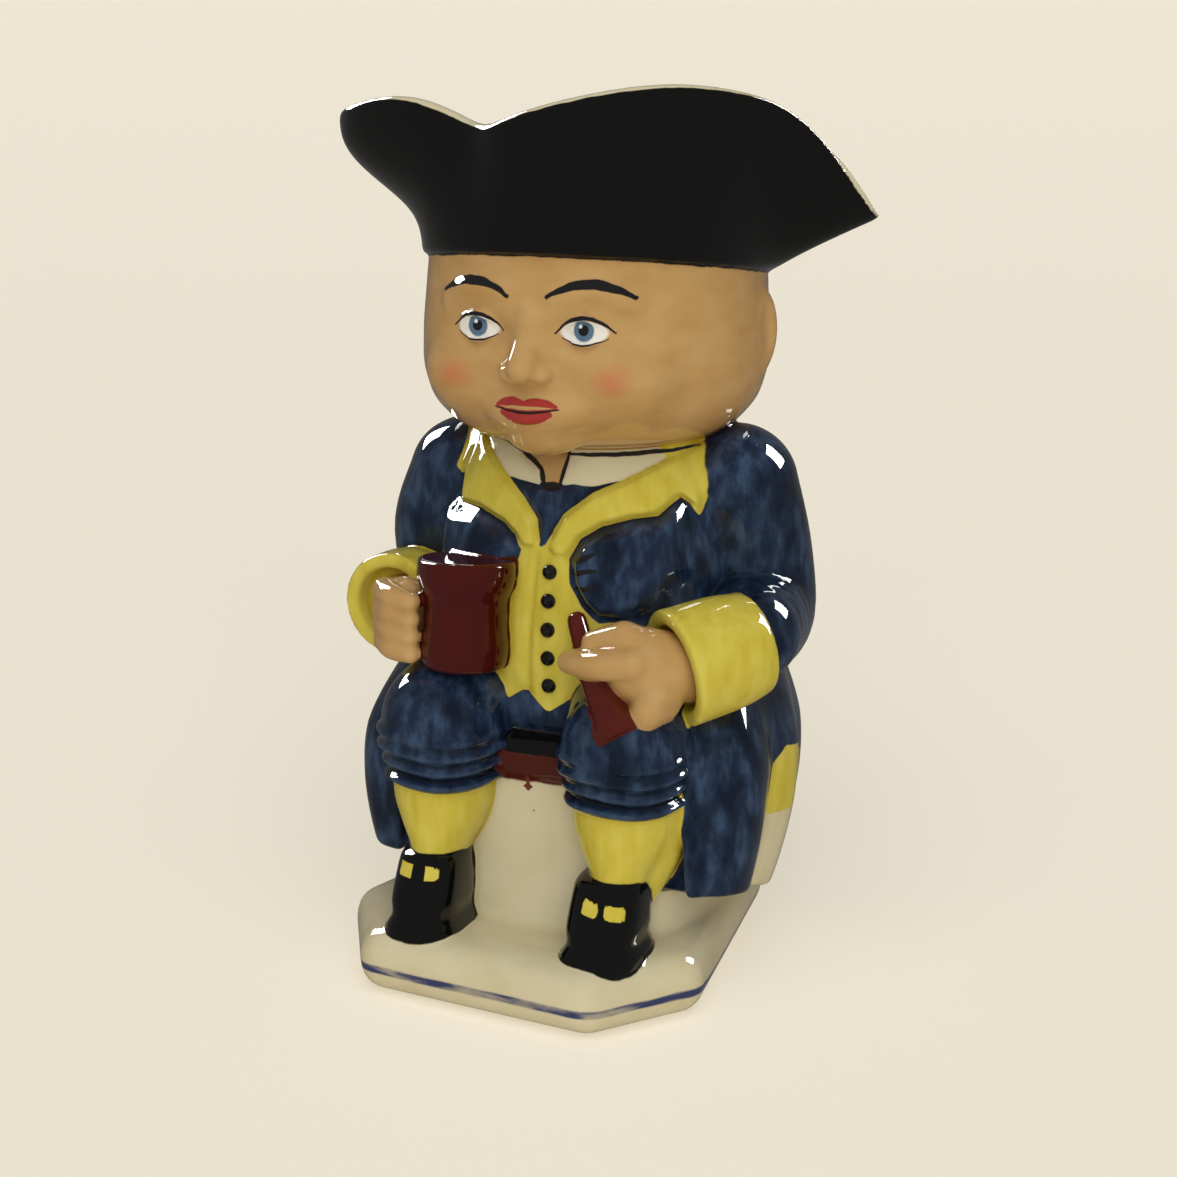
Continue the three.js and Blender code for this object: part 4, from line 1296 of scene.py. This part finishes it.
def glazed_ware():
    material, tree, shader, metres = glaze_material("glazed_earthenware")
    shifted = vector_step(tree, "SUBTRACT", metres, (SHIFT[0] * MM, SHIFT[1] * MM, 0))
    place = vector_step(tree, "MULTIPLY", shifted, (1 / MM, 1 / MM, 1 / MM))
    split = tree.nodes.new("ShaderNodeSeparateXYZ")
    tree.links.new(place, split.inputs[0])
    x, y, z = split.outputs
    combined = tree.nodes.new("ShaderNodeCombineXYZ")
    tree.links.new(x, combined.inputs[0])
    tree.links.new(z, combined.inputs[1])
    flat = combined.outputs[0]
    front = ramp(tree, y, -6, -14)
    colour = with_spots(tree, laid_paints(tree, place, y, z), flat, front)
    wavy = vector_step(tree, "ADD", flat, wavy_offset(tree, place))
    for paint, mask in stroke_masks(tree, wavy, front).items():
        colour = blended(tree, mask, colour, STROKE_COLOURS[paint])
    tree.links.new(colour, shader.inputs["Base Color"])
    glossy(shader)
    uneven(tree, shader, place)
    return material


def wavy_offset(tree, place):
    """A small wander, so that a stroke looks laid by hand."""
    wander = calculate(tree, "MULTIPLY_ADD", noise(tree, place, (4, 4, 4), 1), 0.9, -0.45)
    node = tree.nodes.new("ShaderNodeCombineXYZ")
    tree.links.new(wander, node.inputs[1])
    return node.outputs[0]


def base_line(tree, place, y, z):
    """The blue line round the side of the base, lower at the sides and fading here and there."""
    line = BASE_LINE
    drop = ramp(tree, y, line["from"], line["to"], 0, line["drop"])
    wander = calculate(tree, "MULTIPLY_ADD", noise(tree, place, (16, 16, 16), 1), 1.6, line["z"] - 0.8)
    middle = calculate(tree, "SUBTRACT", wander, drop)
    gap = calculate(tree, "ABSOLUTE", calculate(tree, "SUBTRACT", z, middle))
    mask = ramp(tree, gap, line["half"] + 0.35, line["half"] - 0.35)
    strength = ramp(tree, noise(tree, place, (14, 14, 3), 3), 0.35, 0.6, 0.45, 1.0)
    return calculate(tree, "MULTIPLY", mask, strength)


def specks(tree, place):
    """Few tiny dark specks in the clear glaze."""
    cells = tree.nodes.new("ShaderNodeTexVoronoi")
    cells.inputs["Scale"].default_value = 0.07
    cells.inputs["Randomness"].default_value = 1.0
    tree.links.new(place, cells.inputs["Vector"])
    return ramp(tree, cells.outputs["Distance"], 0.035, 0.02, 0.0, 0.8)


def uneven(tree, shader, place):
    """The glaze lies in very shallow waves, so reflections wander."""
    waves = calculate(tree, "ADD", noise(tree, place, (9, 9, 9), 1),
                      calculate(tree, "MULTIPLY", noise(tree, place, (2.5, 2.5, 2.5), 1), 0.05))
    bump = tree.nodes.new("ShaderNodeBump")
    bump.inputs["Strength"].default_value = 1.0
    bump.inputs["Distance"].default_value = 0.00013
    tree.links.new(waves, bump.inputs["Height"])
    tree.links.new(bump.outputs[0], shader.inputs["Normal"])
    tree.links.new(bump.outputs[0], shader.inputs["Coat Normal"])


def make_jug():
    clay = shape_clay()
    points, quads = surface_of(clay)
    mesh = thinned(mesh_from(points, quads, "rough"), PIECE_TRIANGLES, "jug")
    count = len(mesh.vertices)
    co = np.empty(count * 3, np.float32)
    mesh.vertices.foreach_get("co", co)
    co = co.reshape(-1, 3)
    fields = paint_fields(co)
    fields["relief"] = clay.read(clay.softened(2.5), co)
    for name, values in fields.items():
        mesh.attributes.new(name, "FLOAT", "POINT").data.foreach_set("value", values.astype(np.float32))
    normals = clay.slope(co)
    placed = (co + np.array([*SHIFT, 0], np.float32)) * MM
    mesh.vertices.foreach_set("co", placed.astype(np.float32).ravel())
    mesh.polygons.foreach_set("use_smooth", np.ones(len(mesh.polygons), bool))
    mesh.normals_split_custom_set_from_vertices(normals)
    mesh.materials.append(glazed_ware())
    mesh.update()
    jug = bpy.data.objects.new("jug", mesh)
    bpy.context.collection.objects.link(jug)
    return jug


def button_row():
    """A tree that sets round buttons at equal steps down a bowed line."""
    tree = bpy.data.node_groups.new("row of buttons", "GeometryNodeTree")
    sockets = [("Geometry", "Geometry"), ("Top", "Vector"), ("Middle", "Vector"), ("Low", "Vector")]
    sockets += [("Count", "Int"), ("Size", "Vector"), ("Glaze", "Material")]
    for name, kind in sockets:
        tree.interface.new_socket(name, in_out="INPUT", socket_type="NodeSocket" + kind)
    tree.interface.new_socket("Geometry", in_out="OUTPUT", socket_type="NodeSocketGeometry")
    given = tree.nodes.new("NodeGroupInput").outputs
    line = tree.nodes.new("GeometryNodeCurveQuadraticBezier")
    steps = tree.nodes.new("GeometryNodeResampleCurve")
    button = tree.nodes.new("GeometryNodeMeshUVSphere")
    button.inputs["Segments"].default_value, button.inputs["Rings"].default_value = 28, 16
    copies = tree.nodes.new("GeometryNodeInstanceOnPoints")
    real = tree.nodes.new("GeometryNodeRealizeInstances")
    smooth = tree.nodes.new("GeometryNodeSetShadeSmooth")
    glaze = tree.nodes.new("GeometryNodeSetMaterial")
    links = [
        (given["Top"], line.inputs["Start"]),
        (given["Middle"], line.inputs["Middle"]),
        (given["Low"], line.inputs["End"]),
        (line.outputs["Curve"], steps.inputs["Curve"]),
        (given["Count"], steps.inputs["Count"]),
        (steps.outputs["Curve"], copies.inputs["Points"]),
        (button.outputs["Mesh"], copies.inputs["Instance"]),
        (given["Size"], copies.inputs["Scale"]),
        (copies.outputs[0], real.inputs[0]),
        (real.outputs[0], smooth.inputs[0]),
        (smooth.outputs[0], glaze.inputs["Geometry"]),
        (given["Glaze"], glaze.inputs["Material"]),
        (glaze.outputs[0], tree.nodes.new("NodeGroupOutput").inputs[0]),
    ]
    for start, end in links:
        tree.links.new(start, end)
    return tree


def black_glaze():
    material, tree, shader, metres = glaze_material("black_glaze")
    place = vector_step(tree, "MULTIPLY", metres, (1 / MM, 1 / MM, 1 / MM))
    mottle = ramp(tree, noise(tree, place, (1.2, 1.2, 1.2)), 0.4, 0.7)
    tree.links.new(blended(tree, mottle, COLOURS["black"], MOTTLE), shader.inputs["Base Color"])
    glossy(shader)
    return material


def make_buttons():
    def in_frame(place):
        return [(v + off) * MM for v, off in zip(place, (*SHIFT, 0))]

    start = bpy.data.objects.new("buttons", bpy.data.meshes.new("buttons"))
    bpy.context.collection.objects.link(start)
    modifier = start.modifiers.new("row", "NODES")
    modifier.node_group = button_row()
    values = {
        "Top": in_frame(BUTTONS["top"]),
        "Middle": in_frame(BUTTONS["middle"]),
        "Low": in_frame(BUTTONS["low"]),
        "Count": BUTTONS["count"],
        "Size": [v * MM for v in BUTTON_SIZE],
        "Glaze": black_glaze(),
    }
    for item in modifier.node_group.interface.items_tree:
        if item.in_out == "INPUT" and item.name in values:
            modifier[item.identifier] = values[item.name]
    made = bpy.data.meshes.new_from_object(start.evaluated_get(bpy.context.evaluated_depsgraph_get()))
    start.modifiers.remove(modifier)
    start.data = made
    return start


jug = make_jug()
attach(jug, "root")
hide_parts(NODE)
buttons = make_buttons()
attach(buttons, "root")


# Floor, light and camera
CAMERA = {"azimuth": 22.6, "high": 0.245, "away": 0.5644, "pitch": 14.3, "lens": 63.1, "yaw_off": 0.36}


FLOOR = {"across": 6.0, "near": -4.0, "bend": 1.5, "far": 14.0, "rise": 1.4, "steps": 32}
FLOOR_COLOUR = (0.55, 0.51, 0.43)
FLOOR_LIFT = (0.46, 0.425, 0.35)


def make_floor():
    """A pale sheet that lies under the jug and rises gently far behind it."""
    turn = math.radians(CAMERA["azimuth"])
    c, s = math.cos(turn), math.sin(turn)
    line = [(FLOOR["near"], 0.0)]
    for k in range(FLOOR["steps"] + 1):
        share = k / FLOOR["steps"]
        line.append((FLOOR["bend"] + (FLOOR["far"] - FLOOR["bend"]) * share, FLOOR["rise"] * share**1.6))
    sides = (-FLOOR["across"], FLOOR["across"])
    places = [(c * x - s * y, s * x + c * y, z) for y, z in line for x in sides]
    faces = [(2 * k, 2 * k + 1, 2 * k + 3, 2 * k + 2) for k in range(len(line) - 1)]
    mesh = bpy.data.meshes.new("floor")
    mesh.from_pydata(places, [], faces)
    mesh.polygons.foreach_set("use_smooth", np.ones(len(faces), bool))
    material = bpy.data.materials.new("pale floor")
    material.use_nodes = True
    shader = material.node_tree.nodes["Principled BSDF"]
    shader.inputs["Base Color"].default_value = (*FLOOR_COLOUR, 1)
    shader.inputs["Roughness"].default_value = 1.0
    shader.inputs["Specular IOR Level"].default_value = 0.0
    shader.inputs["Emission Color"].default_value = (*FLOOR_LIFT, 1)
    shader.inputs["Emission Strength"].default_value = 1.0
    mesh.materials.append(material)
    floor = bpy.data.objects.new("floor", mesh)
    bpy.context.collection.objects.link(floor)
    floor.visible_glossy = False
    return floor


def sun_light(name, towards, wide, strength):
    """Even light from a round patch of sky of this width in degrees."""
    light = bpy.data.lights.new(name, "SUN")
    light.angle = math.radians(wide)
    light.energy = strength
    obj = bpy.data.objects.new(name, light)
    obj.visible_glossy = False
    obj.rotation_euler = Vector(towards).to_track_quat("Z", "Y").to_euler()
    bpy.context.collection.objects.link(obj)
    return obj


def window_light(name, place, aim, size, power):
    """A bright pane that the glaze mirrors."""
    light = bpy.data.lights.new(name, "AREA")
    light.shape = "RECTANGLE"
    light.size, light.size_y = size
    light.energy = power
    obj = bpy.data.objects.new(name, light)
    obj.visible_diffuse = False
    obj.location = place
    obj.rotation_euler = (Vector(aim) - Vector(place)).to_track_quat("-Z", "Y").to_euler()
    bpy.context.collection.objects.link(obj)
    return obj


def make_camera():
    azimuth = math.radians(CAMERA["azimuth"])
    yaw = azimuth + math.radians(CAMERA["yaw_off"])
    pitch = math.radians(CAMERA["pitch"])
    camera = bpy.data.objects.new("camera", bpy.data.cameras.new("camera"))
    camera.location = (
        math.sin(azimuth) * CAMERA["away"] + SHIFT[0] * MM,
        -math.cos(azimuth) * CAMERA["away"] + SHIFT[1] * MM,
        CAMERA["high"],
    )
    ahead = Vector((-math.sin(yaw) * math.cos(pitch), math.cos(yaw) * math.cos(pitch), -math.sin(pitch)))
    camera.rotation_euler = ahead.to_track_quat("-Z", "Y").to_euler()
    camera.data.lens = CAMERA["lens"]
    camera.data.sensor_width = 36
    bpy.context.collection.objects.link(camera)
    bpy.context.scene.camera = camera
    return camera


WORLD = {"colour": (1.0, 0.97, 0.93), "strength": 0.15}
# Suns: name, direction, width in degrees, strength
SUNS = [("sky", (0.2, -0.5, 1), 60, 1.4), ("room", (0.45, -1, 0.35), 50, 1.2)]
# Windows: name, place, what they face, size, power
WINDOWS = [
    ("left window", (-0.75, 0.25, 0.62), (0, 0, 0.14), (0.36, 0.50), 22),
    ("right window", (0.7, 0.55, 0.7), (0, 0, 0.12), (0.42, 0.50), 26),
]


def make_world():
    world = bpy.data.worlds.new("studio")
    world.use_nodes = True
    background = world.node_tree.nodes["Background"]
    background.inputs["Color"].default_value = (*WORLD["colour"], 1)
    background.inputs["Strength"].default_value = WORLD["strength"]
    bpy.context.scene.world = world


make_floor()
make_world()
for sun in SUNS:
    sun_light(*sun)
for pane in WINDOWS:
    window_light(*pane)
make_camera()
bpy.context.scene.view_settings.view_transform = "Standard"
